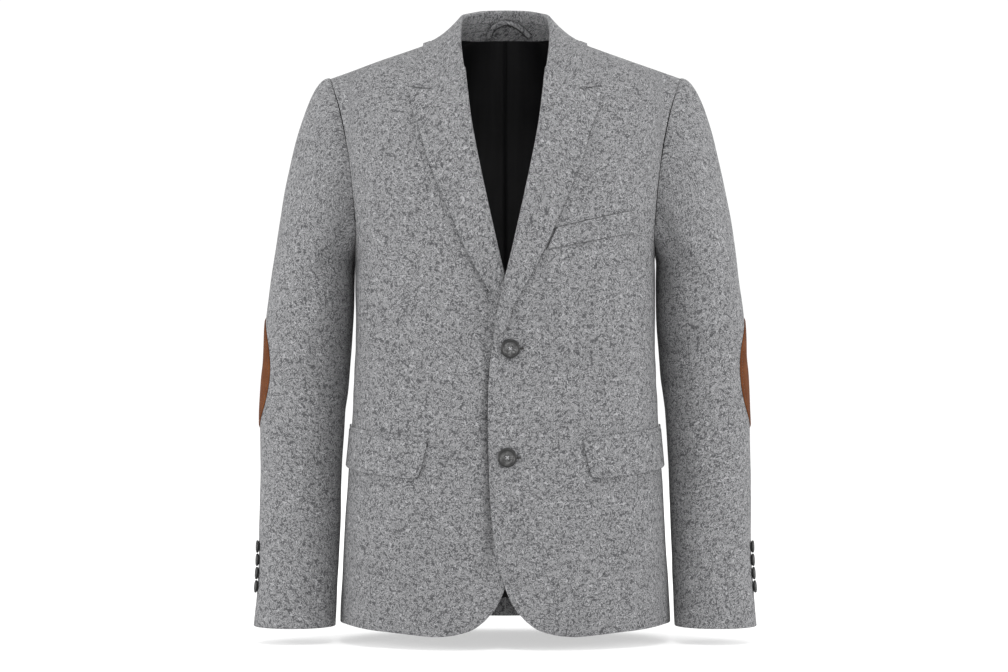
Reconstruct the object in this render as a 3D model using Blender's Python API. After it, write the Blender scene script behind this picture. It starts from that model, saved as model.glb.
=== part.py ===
"""Two-button suit jacket with notch lapels, in its worn and hollow form.

Sizes are in millimetres and become metres where a mesh is made. The front faces -Y, the
wearer's left is +X and up is +Z. The origin lies between the shoulders, at the base of the
neck, where the wearer carries the jacket. Left pieces are worked out first, and right ones
are their mirror image. The wearer's left front lies over the right one.
"""
import math

import bpy
import numpy as np

MM = 0.001

# Cloth
SEAM = 0.3                  # gap between neighbouring pieces
SHELL = 2.2                 # wool with its canvas, in the body
SLEEVE_WALL = 2.0
LINING_WALL = 1.0
COLLAR_WALL = 1.8
FLAP_WALL = 2.4
TRIM_WALL = 1.8             # pocket jets and the breast welt
PATCH_WALL = 1.5
LOOP_WALL = 1.4
LINING_REST = 1.8           # gap between the back and its lining, twice that below the neck
REST = 0.8                  # gap under a piece that lies on a curved panel, so that facets clear

# Body rings are rounded rectangles, the power below being 2 for an ellipse
BODY_ROUND = 2.5
BODY_RINGS = [
    # height, half width, depth in front, depth behind
    (-690, 201.0, 128, 116),
    (-600, 197.0, 127, 112),
    (-500, 191.0, 124, 102),
    (-425, 186.0, 122, 94),
    (-340, 182.5, 123, 92),
    (-280, 182.0, 129, 100),
    (-225, 183.5, 131, 109),
    (-154, 195.0, 129, 116),
    (-90, 206.5, 126, 116),
    (-50, 217.0, 124, 113),
    (-19, 230.0, 122, 109),
    (60, 250.0, 118, 98),
]

# Shoulder line, which slopes from the neck point to the sleeve head
NECK_X = 72.0
NECK_Z = 34.6
SHOULDER_SLOPE = 0.353
SHOULDER_X = 214.0
SHOULDER_SEAM_Y = 8.0
NECK_RISE = {-1: 20.0, 1: 100.0}        # how far the body climbs toward the neck, front and back
CURVE_START = {-1: -190.0, 1: -120.0}   # height where the chest and the back turn toward the shoulder
CLOSE_POWER = 0.52

# Front edge, cutaway and hem of one front, from the turn of the cutaway up to the neck
FRONT_EDGE = [
    # x, height
    (24.2, -664.6), (13.7, -653.0), (4.3, -636.5), (-2.7, -617.0), (-10.9, -587.0),
    (-16.0, -543.0), (-19.0, -490.0), (-19.0, -380.0), (-16.0, -346.4), (-12.6, -326.0),
    (-6.2, -296.0), (0.3, -266.0), (7.0, -239.0), (17.3, -194.0), (27.6, -147.0),
    (35.0, -111.0), (41.3, -76.0), (46.2, -38.0), (48.6, -18.0),
]
FRONT_NECK = [
    # x, height
    (48.6, -18.0), (55.5, -11.0), (57.5, 0.0), (60.0, 12.0), (65.0, 25.0), (NECK_X, NECK_Z),
]
FRONT_HEM = [
    # x, height
    (24.2, -664.6), (37.0, -674.0), (54.6, -680.0), (81.5, -683.3), (108.0, -682.0),
    (138.0, -680.0), (161.0, -678.5),
]
SIDE_HEM = -675.5
BACK_HEM = -683.5
HEM_CLIMB = 0.7             # share of the step between the two hems that the back's hem climbs
HEM_CLIMB_FROM = 60.0       # x where the climb starts
HEM_CLIMB_TOP = -560.0      # height where the rows no longer follow it
HEM_CLIMB_SPAN = 120.0

# Seams of the side body, as shares of the ring's half width
FRONT_SEAM_SHARE = 0.9555
SIDE_TUCK = {"front": 2.5, "back": 2.0}     # half gaps that the side body stays clear of its seams
BACK_SEAM = [
    # height, share
    (-690, 0.860), (-500, 0.865), (-340, 0.880), (-240, 0.925), (-195, 0.952),
]

# Armhole
ARMHOLE_FRONT = [
    # x, height
    (180.2, -192.0), (183.0, -154.0), (186.6, -123.0), (192.5, -90.0), (202.0, -50.0),
    (208.5, -30.0), (SHOULDER_X, NECK_Z - SHOULDER_SLOPE * (SHOULDER_X - NECK_X)),
]
ARMHOLE_BACK = [
    # x, height
    (179.0, -195.0), (180.5, -165.0), (184.0, -130.0), (190.0, -90.0), (201.0, -50.0),
    (208.0, -30.0), (SHOULDER_X, NECK_Z - SHOULDER_SLOPE * (SHOULDER_X - NECK_X)),
]
UNDERARM_DROP = 38.5

# Overlap: how far the right front sinks to pass under the left one
UNDER_SINK = [
    # height, sink
    (-690, 3.4), (-365, 3.4), (-325, 7.0), (-262, 7.0), (-205, 0.0), (60, 0.0),
]
UNDER_RAMP = 46.0
UNDER_START = 8.0           # how far inside the left front's edge the ramp ends

# Lapel
LAPEL_EDGE = [
    # x, height
    (-8.0, -329.0), (0.8, -321.8), (5.5, -309.0), (10.0, -293.7), (19.0, -277.3),
    (31.6, -255.0), (47.4, -224.6), (61.6, -191.5), (78.8, -151.0), (89.0, -125.0),
    (102.0, -82.0), (109.5, -61.0), (112.0, -47.6), (114.7, -36.5),
]
LAPEL_END = [(-12.0, -324.0), (-8.0, -329.0)]
GORGE = [(49.5, -9.6), (85.2, -38.4)]
NOTCH_LAPEL = (114.7, -36.5)
NOTCH_SHARE = 0.61          # share of the lapel's width where the notch starts
LAPEL_ROLL = [
    # share of the width, outer lift
    (0.0, 2.0), (0.05, 4.4), (0.12, 5.2), (0.26, 4.8), (0.44, 4.2), (NOTCH_SHARE, 3.8), (1.0, 3.5),
]
ROLL_SPAN = (-324.0, -20.0)     # heights between which the lapel's inner edge is the front's edge
LAPEL_TIP_LIFT = 3.1        # at its lower end, where one lapel passes under the other
GORGE_GAP = 0.8

# Collar stations from the centre back round to its front end
COLLAR = [
    # neck seam x, z; fold x, y, z; outer edge x, z; leg below the fold; notch bend
    (0.0, 38.0, 0.0, 70.0, 75.0, 0.0, 28.0, 14.0, 0.0),
    (34.0, 37.5, 27.0, 64.0, 73.4, 45.0, 27.5, 14.0, 0.0),
    (58.0, 36.3, 44.0, 44.0, 67.8, 80.0, 25.5, 13.0, 0.0),
    (72.0, 34.6, 51.5, 14.0, 60.6, 98.0, 25.1, 12.0, 0.0),
    (65.0, 25.0, 54.0, -14.0, 47.0, 103.0, 6.0, 9.0, 0.0),
    (60.0, 12.0, 53.7, -39.0, 24.0, 106.5, -13.0, 5.0, 0.1),
    (57.5, 0.0, 51.3, -60.0, 2.0, 109.5, -24.0, 4.0, 0.4),
    (55.5, -11.0, 49.5, -72.0, -9.6, 112.0, -32.0, 3.5, 1.0),
]
COLLAR_FRONT = [
    # x, height, lift: the front end of the collar along the gorge and the notch
    (52.8, -11.9, 0.1), (50.8, -10.3, 0.4), (49.6, -9.3, 2.0), (51.0, -10.5, 3.8), (57.0, -15.3, 3.6),
    (70.0, -25.8, 3.1), (85.2, -38.1, 2.6), (99.0, -35.5, 2.3), (112.0, -32.0, 2.0),
]
NECK_CENTRE = (0.0, 10.0, 0.0)
FALL_SAG = 5.5              # of the fall where it turns over the shoulder
SAG_SPREAD = 1.3            # stations to each side of the shoulder seam
SHOULDER_STATION = 3        # where the neck seam and the outer edge cross the shoulder seam
FOLD_RADIUS = 2.0
STAND_GAP = 1.7
FALL_LIFT = 2.8             # of the middle of the fall above the body
STAND_END = 4.4             # the stand runs to this station on each side

# Pockets, measured round the body from the centre front
POCKET_LEVEL = -465.0
FLAP_START_X = 91.8
FLAP_LENGTH = 155.0
FLAP_TOP = -454.8
FLAP_RISE = 13.0            # from the front end to the back end
FLAP_DROP = 43.5
FLAP_LEAN = 7.0
FLAP_CORNER = 9.0
FLAP_HANG = 0.9             # how much further the free edge stands off
JET_HEIGHT = 5.0
WELT = [
    # x, height: the four corners, from the lower inner one round to the lower outer one
    (48.6, -228.5), (60.6, -202.5), (151.6, -181.4), (150.4, -207.7),
]

# Sleeve rings below the armhole, and the length of the sleeve
SLEEVE_RINGS = [
    # height, centre x, centre y, half width, half depth
    (-250, 234.5, 8, 50.0, 71.0),
    (-308, 238.5, 9, 53.5, 66.5),
    (-366, 242.6, 10, 53.4, 62.0),
    (-425, 245.7, 8, 53.0, 58.0),
    (-506, 248.8, 0, 50.4, 53.0),
    (-552, 249.3, -8, 49.6, 50.0),
    (-600, 250.2, -16, 48.6, 47.0),
    (-640, 252.2, -23, 48.4, 45.0),
    (-680, 254.4, -30, 49.4, 43.0),
]
SLEEVE_TOP = -250.0
CUFF = -679.5
SLEEVE_GAP = 0.7
HEAD_GAP_SHARE = 1.5        # the gap grows by this share at the shoulder
SLEEVE_ROPE = 0.6
CAP_LEAVE = {"top": 0.15, "level": 0.30, "under": 1.5}     # slope of the sleeve head off the armhole
CAP_PULL = (0.40, 0.92)     # how far that slope, and the sleeve's own, reach into the head
FRONT_SLEEVE_SEAM = 115.0   # degrees from the outer side of the sleeve toward the front
BACK_SLEEVE_SEAM = -110.0

# Elbow patch and buttons
PATCH_CENTRE = (-20.5, -374.6)      # angle round the sleeve, height
PATCH_HALF_WIDTH = 61.0
PATCH_ARM_RADIUS = 57.7     # of the sleeve under the patch
PATCH_HALF_HEIGHT = 70.5
BUTTON_LIFT = 0.6
FRONT_BUTTONS = {"top": (6.0, -344.6), "low": (2.5, -472.7)}
FRONT_BUTTON_PROFILE = [
    # radius, height
    (9.6, 0.0), (11.4, 1.3), (11.4, 2.9), (10.4, 4.1), (9.2, 4.0), (8.0, 3.0), (4.5, 2.6),
]
CUFF_BUTTON_PROFILE = [
    # radius, height
    (6.6, 0.0), (7.7, 1.2), (7.4, 2.9), (6.2, 3.2), (5.0, 2.4),
]
BUTTON_HOLE_RADIUS = 1.1
BUTTON_HOLE_REACH = 2.6
CUFF_BUTTON_ANGLE = 11.0
CUFF_BUTTON_FIRST = -585.0
CUFF_BUTTON_STEP = 15.9

# Lining and hanger loop
LINING_FREE = 60.0          # below the neck, where the lining's gap starts to double
LINING_EDGE = [
    # x, height: its outer edge, hidden inside the fronts
    (150.0, -660.0), (150.0, -300.0), (144.0, -150.0), (118.0, -75.0), (82.0, -20.0), (58.0, 29.0),
]
LINING_NECK = [
    # x, height
    (SEAM / 2, 37.0), (30.0, 36.2), (46.0, 34.0), (58.0, 29.0),
]
LOOP_WIDTH = 8.0
HANGER_LOOP = [
    # x, height
    (-20.5, 42.5), (-17.5, 50.0), (-9.0, 57.0), (2.0, 60.0), (14.0, 56.5), (24.0, 49.0), (31.0, 42.5),
]


# ---------------------------------------------------------------- curves

def through(at, keys, values):
    """A smooth curve through a table: the values at the given keys."""
    keys = np.asarray(keys, float)
    values = np.asarray(values, float)
    step = np.diff(keys)
    rise = np.diff(values) / step
    slope = np.empty(len(keys))
    slope[0], slope[-1] = rise[0], rise[-1]
    slope[1:-1] = (step[:-1] * rise[1:] + step[1:] * rise[:-1]) / (step[:-1] + step[1:])
    at = np.clip(at, keys[0], keys[-1])
    i = np.clip(np.searchsorted(keys, at, side="right") - 1, 0, len(step) - 1)
    t = (at - keys[i]) / step[i]
    return (values[i] * (1 + 2 * t) * (1 - t) ** 2 + slope[i] * step[i] * t * (1 - t) ** 2
            + values[i + 1] * t * t * (3 - 2 * t) - slope[i + 1] * step[i] * t * t * (1 - t))


def column(table, index):
    return np.array([row[index] for row in table], float)


def even(share):
    return share


def along(points, count, ease=even):
    """Points spread along a smooth line through the given ones."""
    points = np.asarray(points, float)
    chord = np.concatenate([[0], np.cumsum(np.linalg.norm(np.diff(points, axis=0), axis=1))])
    fine = np.linspace(0, chord[-1], 400)
    line = np.stack([through(fine, chord, points[:, axis]) for axis in range(points.shape[1])], axis=1)
    length = np.concatenate([[0], np.cumsum(np.linalg.norm(np.diff(line, axis=0), axis=1))])
    wanted = ease(np.linspace(0, 1, count + 1)) * length[-1]
    return np.stack([np.interp(wanted, length, line[:, axis]) for axis in range(points.shape[1])], axis=1)


def join(*lines):
    """Lines that follow each other, with their shared points taken once."""
    return np.concatenate([lines[0]] + [line[1:] for line in lines[1:]])


def patch(inner, outer, lower, upper):
    """A grid between four lines that meet at its corners. Its rows climb, its columns run outward."""
    u = np.linspace(0, 1, len(lower))[None, :, None]
    v = np.linspace(0, 1, len(inner))[:, None, None]
    sides = (1 - u) * inner[:, None] + u * outer[:, None]
    ends = (1 - v) * lower[None] + v * upper[None]
    corners = ((1 - u) * (1 - v) * lower[0] + u * (1 - v) * lower[-1]
               + (1 - u) * v * upper[0] + u * v * upper[-1])
    return sides + ends - corners


def unit(vectors):
    return vectors / np.maximum(np.linalg.norm(vectors, axis=-1, keepdims=True), 1e-9)


# ---------------------------------------------------------------- body surface

def half_width(z):
    return through(z, column(BODY_RINGS, 0), column(BODY_RINGS, 1))


def depth(z, side):
    return through(z, column(BODY_RINGS, 0), column(BODY_RINGS, 2 if side < 0 else 3))


def shoulder_height(x, side):
    """Height of the shoulder line, which bends up into the neck inside the neck point."""
    inside = np.clip(1 - (x / NECK_X) ** 2, 0, 1)
    outside = np.maximum(np.abs(x) - NECK_X, 0)
    neck = SHOULDER_SLOPE * NECK_X / 2 * inside + NECK_RISE[side] * inside ** 2
    return NECK_Z + neck - SHOULDER_SLOPE * outside


def body_y(x, z, side):
    """How far forward (side -1) or back (side 1) the outside of the body lies."""
    x, z = np.broadcast_arrays(np.asarray(x, float), np.asarray(z, float))
    flank = np.clip(1 - (np.abs(x) / half_width(z)) ** BODY_ROUND, 0, 1) ** (1 / BODY_ROUND)
    start = CURVE_START[side]
    rise = np.clip((z - start) / (shoulder_height(x, side) - start), 0, 1)
    close = (1 - rise ** 2) ** CLOSE_POWER
    seam = SHOULDER_SEAM_Y + side * SEAM / 2
    return seam * (1 - close) + side * depth(z, side) * flank * close


def on_body(x, z, side, lift=0.0):
    """A point of the front or back, moved out from the body by the lift."""
    x, z = np.broadcast_arrays(np.asarray(x, float), np.asarray(z, float))
    e = 0.3
    across = (body_y(x + e, z, side) - body_y(x - e, z, side)) / (2 * e)
    up = (body_y(x, z + e, side) - body_y(x, z - e, side)) / (2 * e)
    normal = unit(side * np.stack([-across, np.ones_like(x), -up], axis=-1))
    ridge = (shoulder_height(x, side) - z < 1.0)[..., None]
    over = unit(np.stack([SHOULDER_SLOPE * np.sign(x), 0 * x, np.ones_like(x)], axis=-1))
    normal = np.where(ridge, over, normal)
    point = np.stack([x, body_y(x, z, side), z], axis=-1)
    return point + normal * np.asarray(lift, float)[..., None]


def ring_point(angle, z):
    """A point of the body below the armhole. The angle runs from the centre front to the back."""
    angle, z = np.broadcast_arrays(np.asarray(angle, float), np.asarray(z, float))
    power = 2 / BODY_ROUND
    forward = np.cos(angle)
    reach = np.where(forward > 0, depth(z, -1), depth(z, 1))
    x = half_width(z) * np.abs(np.sin(angle)) ** power
    return np.stack([x, -reach * np.sign(forward) * np.abs(forward) ** power, z], axis=-1)


def lifted(surface, a, b, lift, step_a, step_b):
    """A point of a two-way surface, moved out along its normal."""
    along_a = surface(a + step_a, b) - surface(a - step_a, b)
    along_b = surface(a, b + step_b) - surface(a, b - step_b)
    normal = unit(np.cross(along_a, along_b))
    return surface(a, b) + normal * np.asarray(lift, float)[..., None]


def on_ring(angle, z, lift=0.0):
    return lifted(ring_point, angle, z, lift, 0.004, 0.5)


def share_angle(share):
    """Angle on a body ring where x is this share of the half width, on the front half."""
    return np.arcsin(share ** (BODY_ROUND / 2))


def back_seam_share(z):
    return through(z, column(BACK_SEAM, 0), column(BACK_SEAM, 1))


def underarm(count):
    """Bottom of the armhole, from the front seam round to the back seam, as angle and height."""
    turn = np.linspace(0, math.pi, count + 1)
    front, back = ARMHOLE_FRONT[0], ARMHOLE_BACK[0]
    y_front = body_y(front[0], front[1], -1)
    y_back = body_y(back[0], back[1], 1)
    y = (y_front + y_back) / 2 - (y_back - y_front) / 2 * np.cos(turn)
    z = front[1] + (back[1] - front[1]) * turn / math.pi - UNDERARM_DROP * np.sin(turn)
    reach = np.where(y < 0, depth(z, -1), depth(z, 1))
    angle = np.arccos(np.clip(np.abs(y) / reach, 0, 1) ** (BODY_ROUND / 2))
    return np.stack([np.where(y < 0, angle, math.pi - angle), z], axis=1)


# ---------------------------------------------------------------- meshes

def material(name, colour, roughness):
    made = bpy.data.materials.new(name)
    made.use_nodes = True
    shader = made.node_tree.nodes["Principled BSDF"]
    shader.inputs["Base Color"].default_value = (*colour, 1.0)
    shader.inputs["Roughness"].default_value = roughness
    shader.inputs["Metallic"].default_value = 0.0
    made.diffuse_color = (*colour, 1.0)
    return made


def add(name, points, faces, finish):
    """An object from points in millimetres, with its faces turned outward."""
    volume = 0.0
    for face in faces:
        for i in range(1, len(face) - 1):
            a, b, c = points[face[0]], points[face[i]], points[face[i + 1]]
            volume += np.dot(a, np.cross(b, c))
    if volume < 0:
        faces = [face[::-1] for face in faces]
    mesh = bpy.data.meshes.new(name)
    mesh.from_pydata([tuple(point * MM) for point in points], [], faces)
    mesh.update()
    mesh.shade_smooth()
    mesh.set_sharp_from_angle(angle=math.radians(40))
    mesh.materials.append(finish)
    made = bpy.data.objects.new(name, mesh)
    bpy.context.collection.objects.link(made)
    return made


def wall(name, outer, inner, finish, mirror=False):
    """A closed wall between two grids of the same shape."""
    rows, columns = outer.shape[:2]
    points = np.concatenate([outer.reshape(-1, 3), inner.reshape(-1, 3)])
    if mirror:
        points = points * [-1, 1, 1]
    behind = rows * columns
    faces = []
    for i in range(rows - 1):
        for j in range(columns - 1):
            a = i * columns + j
            square = [a, a + 1, a + columns + 1, a + columns]
            faces.append(square)
            faces.append([behind + k for k in reversed(square)])
    rim = [j for j in range(columns)]
    rim += [i * columns + columns - 1 for i in range(1, rows)]
    rim += [(rows - 1) * columns + j for j in range(columns - 2, -1, -1)]
    rim += [i * columns for i in range(rows - 2, 0, -1)]
    for a, b in zip(rim, rim[1:] + rim[:1]):
        faces.append([b, a, behind + a, behind + b])
    return add(name, points, faces, finish)


def sides():
    """Left as it is worked out, right as its mirror image."""
    return (("left", False), ("right", True))


# ---------------------------------------------------------------- body pieces

ROWS_BELOW = 14
ROWS_ABOVE = 9
UNDERARM_COLUMNS = 8
BLADE_HEIGHT = -140.0       # the rows of the back grow finer above the shoulder blades


def crowd_top(share):
    """Rows crowd toward the shoulder, where the body turns over."""
    return 1 - (1 - share) ** 1.6


def crowd_end(share):
    return 1 - (1 - share) ** 1.35


def under_sink(x, z):
    """Depth of the right front below the left one. Here x is measured toward the left front."""
    edge = np.interp(z, column(FRONT_EDGE[:-1], 1), column(FRONT_EDGE[:-1], 0))
    ramp = np.clip((x + UNDER_RAMP + UNDER_START - edge) / UNDER_RAMP, 0, 1)
    amount = np.interp(z, column(UNDER_SINK, 0), column(UNDER_SINK, 1))
    return amount * ramp * ramp * (3 - 2 * ramp)


def front_point(x, z, lift, under):
    """A point over the front. Under the overlap, the right front is sunk."""
    if under:
        lift = lift - under_sink(-x, z)
    return on_body(x, z, -1, lift)


def front_outline():
    seam_x = FRONT_SEAM_SHARE * half_width(SIDE_HEM) - SEAM / 2
    lower = along(FRONT_HEM + [(seam_x, SIDE_HEM)], 10, crowd_end)
    heights = np.linspace(SIDE_HEM, ARMHOLE_FRONT[0][1], ROWS_BELOW + 1)
    seam = np.stack([FRONT_SEAM_SHARE * half_width(heights) - SEAM / 2, heights], axis=1)
    outer = join(seam, along(ARMHOLE_FRONT, ROWS_ABOVE, crowd_top))
    outer[ROWS_BELOW] = seam[-1]
    neck_rows = 4
    edge = along(FRONT_EDGE, ROWS_BELOW + ROWS_ABOVE - neck_rows)
    inner = join(edge, along(FRONT_NECK, neck_rows))
    upper = along([(NECK_X, NECK_Z), ARMHOLE_FRONT[-1]], 10)
    return patch(inner, outer, lower, upper)


def fronts(cloth):
    flat = front_outline()
    x, z = flat[..., 0], flat[..., 1]
    for side, mirror in sides():
        outer = front_point(x, z, 0 * x, mirror)
        inner = front_point(x, z, 0 * x - SHELL, mirror)
        wall("front_" + side, outer, inner, cloth, mirror)


def back_outline():
    heights = np.linspace(BACK_HEM, ARMHOLE_BACK[0][1], ROWS_BELOW + 1)
    seam = np.stack([back_seam_share(heights) * half_width(heights) - SEAM / 2, heights], axis=1)
    outer = join(seam, along(ARMHOLE_BACK, ROWS_ABOVE, crowd_top))
    outer[ROWS_BELOW] = seam[-1]
    neck_rows = 4
    centre = SEAM / 2
    lower_centre = along([(centre, BACK_HEM), (centre, BLADE_HEIGHT)], ROWS_BELOW)
    upper_centre = along([(centre, BLADE_HEIGHT), (centre, COLLAR[0][1])], ROWS_ABOVE - neck_rows)
    neck = [(centre, COLLAR[0][1])] + [row[:2] for row in COLLAR[1:SHOULDER_STATION + 1]]
    inner = join(lower_centre, upper_centre, along(neck, neck_rows))
    lower = along([tuple(inner[0]), tuple(outer[0])], 9, crowd_end)
    upper = along([tuple(inner[-1]), tuple(outer[-1])], 9)
    return patch(inner, outer, lower, upper)


def backs(cloth):
    flat = back_outline()
    x, z = flat[..., 0], flat[..., 1]
    outward = np.clip((x - HEM_CLIMB_FROM) / HEM_CLIMB_SPAN, 0, 1)
    low = np.clip((HEM_CLIMB_TOP - z) / HEM_CLIMB_SPAN, 0, 1)
    z = z + (SIDE_HEM - BACK_HEM) * HEM_CLIMB * outward * low
    for side, mirror in sides():
        wall("back_" + side, on_body(x, z, 1, 0 * x), on_body(x, z, 1, 0 * x - SHELL), cloth, mirror)


def side_bodies(cloth):
    columns = UNDERARM_COLUMNS
    top = underarm(columns)
    tuck = SEAM / 2 / half_width(POCKET_LEVEL)
    lower_z = np.linspace(SIDE_HEM, top[0, 1], ROWS_BELOW + 1)
    front_angle = share_angle(FRONT_SEAM_SHARE) + tuck * SIDE_TUCK["front"]
    inner = np.stack([front_angle + 0 * lower_z, lower_z], axis=1)
    back_z = np.linspace(BACK_HEM + (SIDE_HEM - BACK_HEM) * HEM_CLIMB, top[-1, 1], ROWS_BELOW + 1)
    back_angle = math.pi - share_angle(back_seam_share(back_z)) - tuck * SIDE_TUCK["back"]
    outer = np.stack([back_angle, back_z], axis=1)
    top[0], top[-1] = inner[-1], outer[-1]
    lower = along([tuple(inner[0]), tuple(outer[0])], columns)
    flat = patch(inner, outer, lower, top)
    angle, z = flat[..., 0], flat[..., 1]
    for side, mirror in sides():
        outside = on_ring(angle, z, 0 * z)
        inside = on_ring(angle, z, 0 * z - SHELL)
        wall("side_" + side, outside, inside, cloth, mirror)


def linings(silk):
    rows, columns = 17, 7
    bottom = LINING_EDGE[0][1]
    inner = along([(SEAM / 2, bottom), LINING_NECK[0]], rows, crowd_end)
    outer = along(LINING_EDGE, rows, crowd_end)
    lower = along([(SEAM / 2, bottom), LINING_EDGE[0]], columns)
    flat = patch(inner, outer, lower, along(LINING_NECK, columns))
    x, z = flat[..., 0], flat[..., 1]
    near = -SHELL - LINING_REST * (1 + np.clip(z / LINING_FREE + 1, 0, 1))
    for side, mirror in sides():
        outside = on_body(x, z, 1, near)
        inside = on_body(x, z, 1, near - LINING_WALL)
        wall("lining_" + side, outside, inside, silk, mirror)


# ---------------------------------------------------------------- lapels and collar

def lapels(cloth):
    shares = column(LAPEL_ROLL, 0)
    shares = np.sort(np.concatenate([shares, [0.74, 0.87]]))
    lift = np.interp(shares, column(LAPEL_ROLL, 0), column(LAPEL_ROLL, 1))
    rows = 18
    roll = [point for point in FRONT_EDGE if ROLL_SPAN[0] < point[1] < ROLL_SPAN[1]]
    inner = along([LAPEL_END[0]] + roll + [(GORGE[0][0], GORGE[0][1] - GORGE_GAP)], rows)
    outer = along(LAPEL_EDGE, rows)
    corner = (GORGE[1][0], GORGE[1][1] - GORGE_GAP)
    notch = int(np.argmin(np.abs(shares - NOTCH_SHARE)))
    gorge_part = shares[:notch + 1] / shares[notch]
    notch_part = (shares[notch:] - shares[notch]) / (1 - shares[notch])
    start, end = np.array(inner[-1]), np.array(NOTCH_LAPEL)
    upper = join(start + (corner - start) * gorge_part[:, None],
                 np.array(corner) + (end - corner) * notch_part[:, None])
    lower = np.array(LAPEL_END[0]) + np.subtract(*LAPEL_END[::-1]) * shares[:, None]
    u = shares[None, :, None]
    v = np.linspace(0, 1, rows + 1)[:, None, None]
    ruled = (1 - u) * inner[:, None] + u * outer[:, None]
    top_row = (1 - u) * inner[-1] + u * outer[-1]
    flat = ruled + (upper - top_row) * v ** 6
    flat[0] = lower
    x, z = flat[..., 0], flat[..., 1]
    full = np.clip(v[..., 0] / 0.25, 0, 1)
    far = LAPEL_TIP_LIFT + (lift[None] - LAPEL_TIP_LIFT) * full
    far[:, 0] = lift[0]
    for side, mirror in sides():
        outside = front_point(x, z, far, mirror)
        inside = front_point(x, z, REST + 0 * x, mirror)
        wall("lapel_" + side, outside, inside, cloth, mirror)


def push_out(points, clearance):
    """Points that lie too near the body are moved out to the clearance."""
    x, y, z = points[..., 0], points[..., 1], points[..., 2]
    moved = points.copy()
    for side in (-1, 1):
        here = (side * (y - SHOULDER_SEAM_Y) >= 0) & (z < shoulder_height(x, side) - 0.5)
        base = on_body(x, z, side, 0 * x)
        normal = on_body(x, z, side, 0 * x + 1) - base
        distance = side * (y - base[..., 1]) * np.abs(normal[..., 1])
        short = np.maximum(clearance - distance, 0) * here
        moved += normal * short[..., None]
    return moved


def body_line(nodes, lift):
    """A line over the body through a node for each station, and each node's length along it."""
    parts = []
    for side, part in ((1, nodes[:SHOULDER_STATION + 1]), (-1, nodes[SHOULDER_STATION:])):
        flat = along(part, 120)
        parts.append(on_body(flat[:, 0], flat[:, 1], side, 0 * flat[:, 0] + lift))
    line = join(*parts)
    length = np.concatenate([[0], np.cumsum(np.linalg.norm(np.diff(line, axis=0), axis=1))])
    heights = np.array([part[1] for part in nodes])
    spread = [part[0] for part in nodes]
    at = []
    for x, z in zip(spread, heights):
        at.append(length[np.argmin((line[:, 0] - x) ** 2 + (line[:, 2] - z) ** 2)])
    return line, length, at


def on_line(line, length, distance):
    return np.stack([np.interp(distance, length, line[:, axis]) for axis in range(3)], axis=-1)


def collar_lines(stations):
    """Neck seam, fold and outer edge of the collar at signed stations, with its leg and notch bend."""
    place = np.abs(stations)
    number = np.arange(len(COLLAR))
    lines = []
    for first, lift in ((0, -SHELL / 2), (5, FALL_LIFT)):
        line, length, at = body_line([row[first:first + 2] for row in COLLAR], lift)
        lines.append(on_line(line, length, through(place, number, at)))
    fold = np.stack([through(place, number, column(COLLAR, i)) for i in (2, 3, 4)], axis=-1)
    sign = np.where(stations < 0, -1.0, 1.0)[:, None] * [1, 0, 0] + [0, 1, 1]
    leg, bend = through(place, number, column(COLLAR, 7)), through(place, number, column(COLLAR, 8))
    return lines[0] * sign, fold * sign, lines[1] * sign, leg, bend


def collar_frame(stations):
    """Directions at the fold: up and away from both legs, and outward from the neck."""
    neck, fold, edge, leg, bend = collar_lines(stations)
    up = unit(fold - (neck + edge) / 2)
    run = unit(np.gradient(fold, axis=0))
    outward = unit(np.cross(run, up))
    from_neck = (fold - NECK_CENTRE) * [1, 1, 0]
    outward *= np.sign(np.sum(outward * from_neck, axis=1, keepdims=True))
    return neck, fold, edge, leg, bend, up, outward


def leg_end(neck, fold, leg, outward):
    return fold + unit(neck - fold) * leg[:, None] - outward * FOLD_RADIUS


def thicken(grid, thickness):
    """Outer and inner grids on both sides of a middle one."""
    along_rows = np.gradient(grid, axis=0)
    along_columns = np.gradient(grid, axis=1)
    normal = unit(np.cross(along_rows, along_columns))
    return grid + normal * thickness / 2, grid - normal * thickness / 2


def collar(cloth):
    last = len(COLLAR) - 1
    stations = np.linspace(-last, last, 29)
    neck, fold, edge, leg, bend, up, outward = collar_frame(stations)
    end = leg_end(neck, fold, leg, outward)
    start = fold - up * FOLD_RADIUS + outward * FOLD_RADIUS
    notch = np.array([GORGE[1][0], 0, GORGE[1][1] + SEAM])
    kink = notch - ((1 - NOTCH_SHARE) * fold[-1] + NOTCH_SHARE * edge[-1])
    kink[1] = 0
    sag = FALL_SAG * np.exp(-((np.abs(stations) - SHOULDER_STATION) / SAG_SPREAD) ** 2)
    down = unit(up + outward)
    rows = [end, fold - up * FOLD_RADIUS - outward * FOLD_RADIUS, fold]
    for share in (0.0, 0.2, 0.4, NOTCH_SHARE, 0.8, 1.0):
        line = start + (edge - start) * share
        hat = min(share / NOTCH_SHARE, (1 - share) / (1 - NOTCH_SHARE))
        shift = kink * np.sign(stations)[:, None] * [1, 0, 0] + kink * [0, 0, 1]
        line = line + shift * (bend * hat)[:, None] - down * (sag * 4 * share * (1 - share))[:, None]
        rows.append(push_out(line, FALL_LIFT))
    grid = np.stack(rows)
    for end_column, sign in ((0, -1), (-1, 1)):
        x = np.array([row[0] for row in COLLAR_FRONT])
        z = np.array([row[1] for row in COLLAR_FRONT])
        lift = np.array([row[2] for row in COLLAR_FRONT])
        grid[:, end_column] = on_body(x, z, -1, lift) * [sign, 1, 1]
    outer, inner = thicken(grid, COLLAR_WALL)
    wall("collar", outer, inner, cloth)


def stand_rows(stations, shares):
    neck, fold, edge, leg, bend, up, outward = collar_frame(stations)
    end = leg_end(neck, fold, leg, outward)
    run = unit(end - neck)
    low = neck + run * STAND_GAP
    high = end - run * STAND_GAP
    return np.stack([low + (high - low) * share for share in shares])


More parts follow.
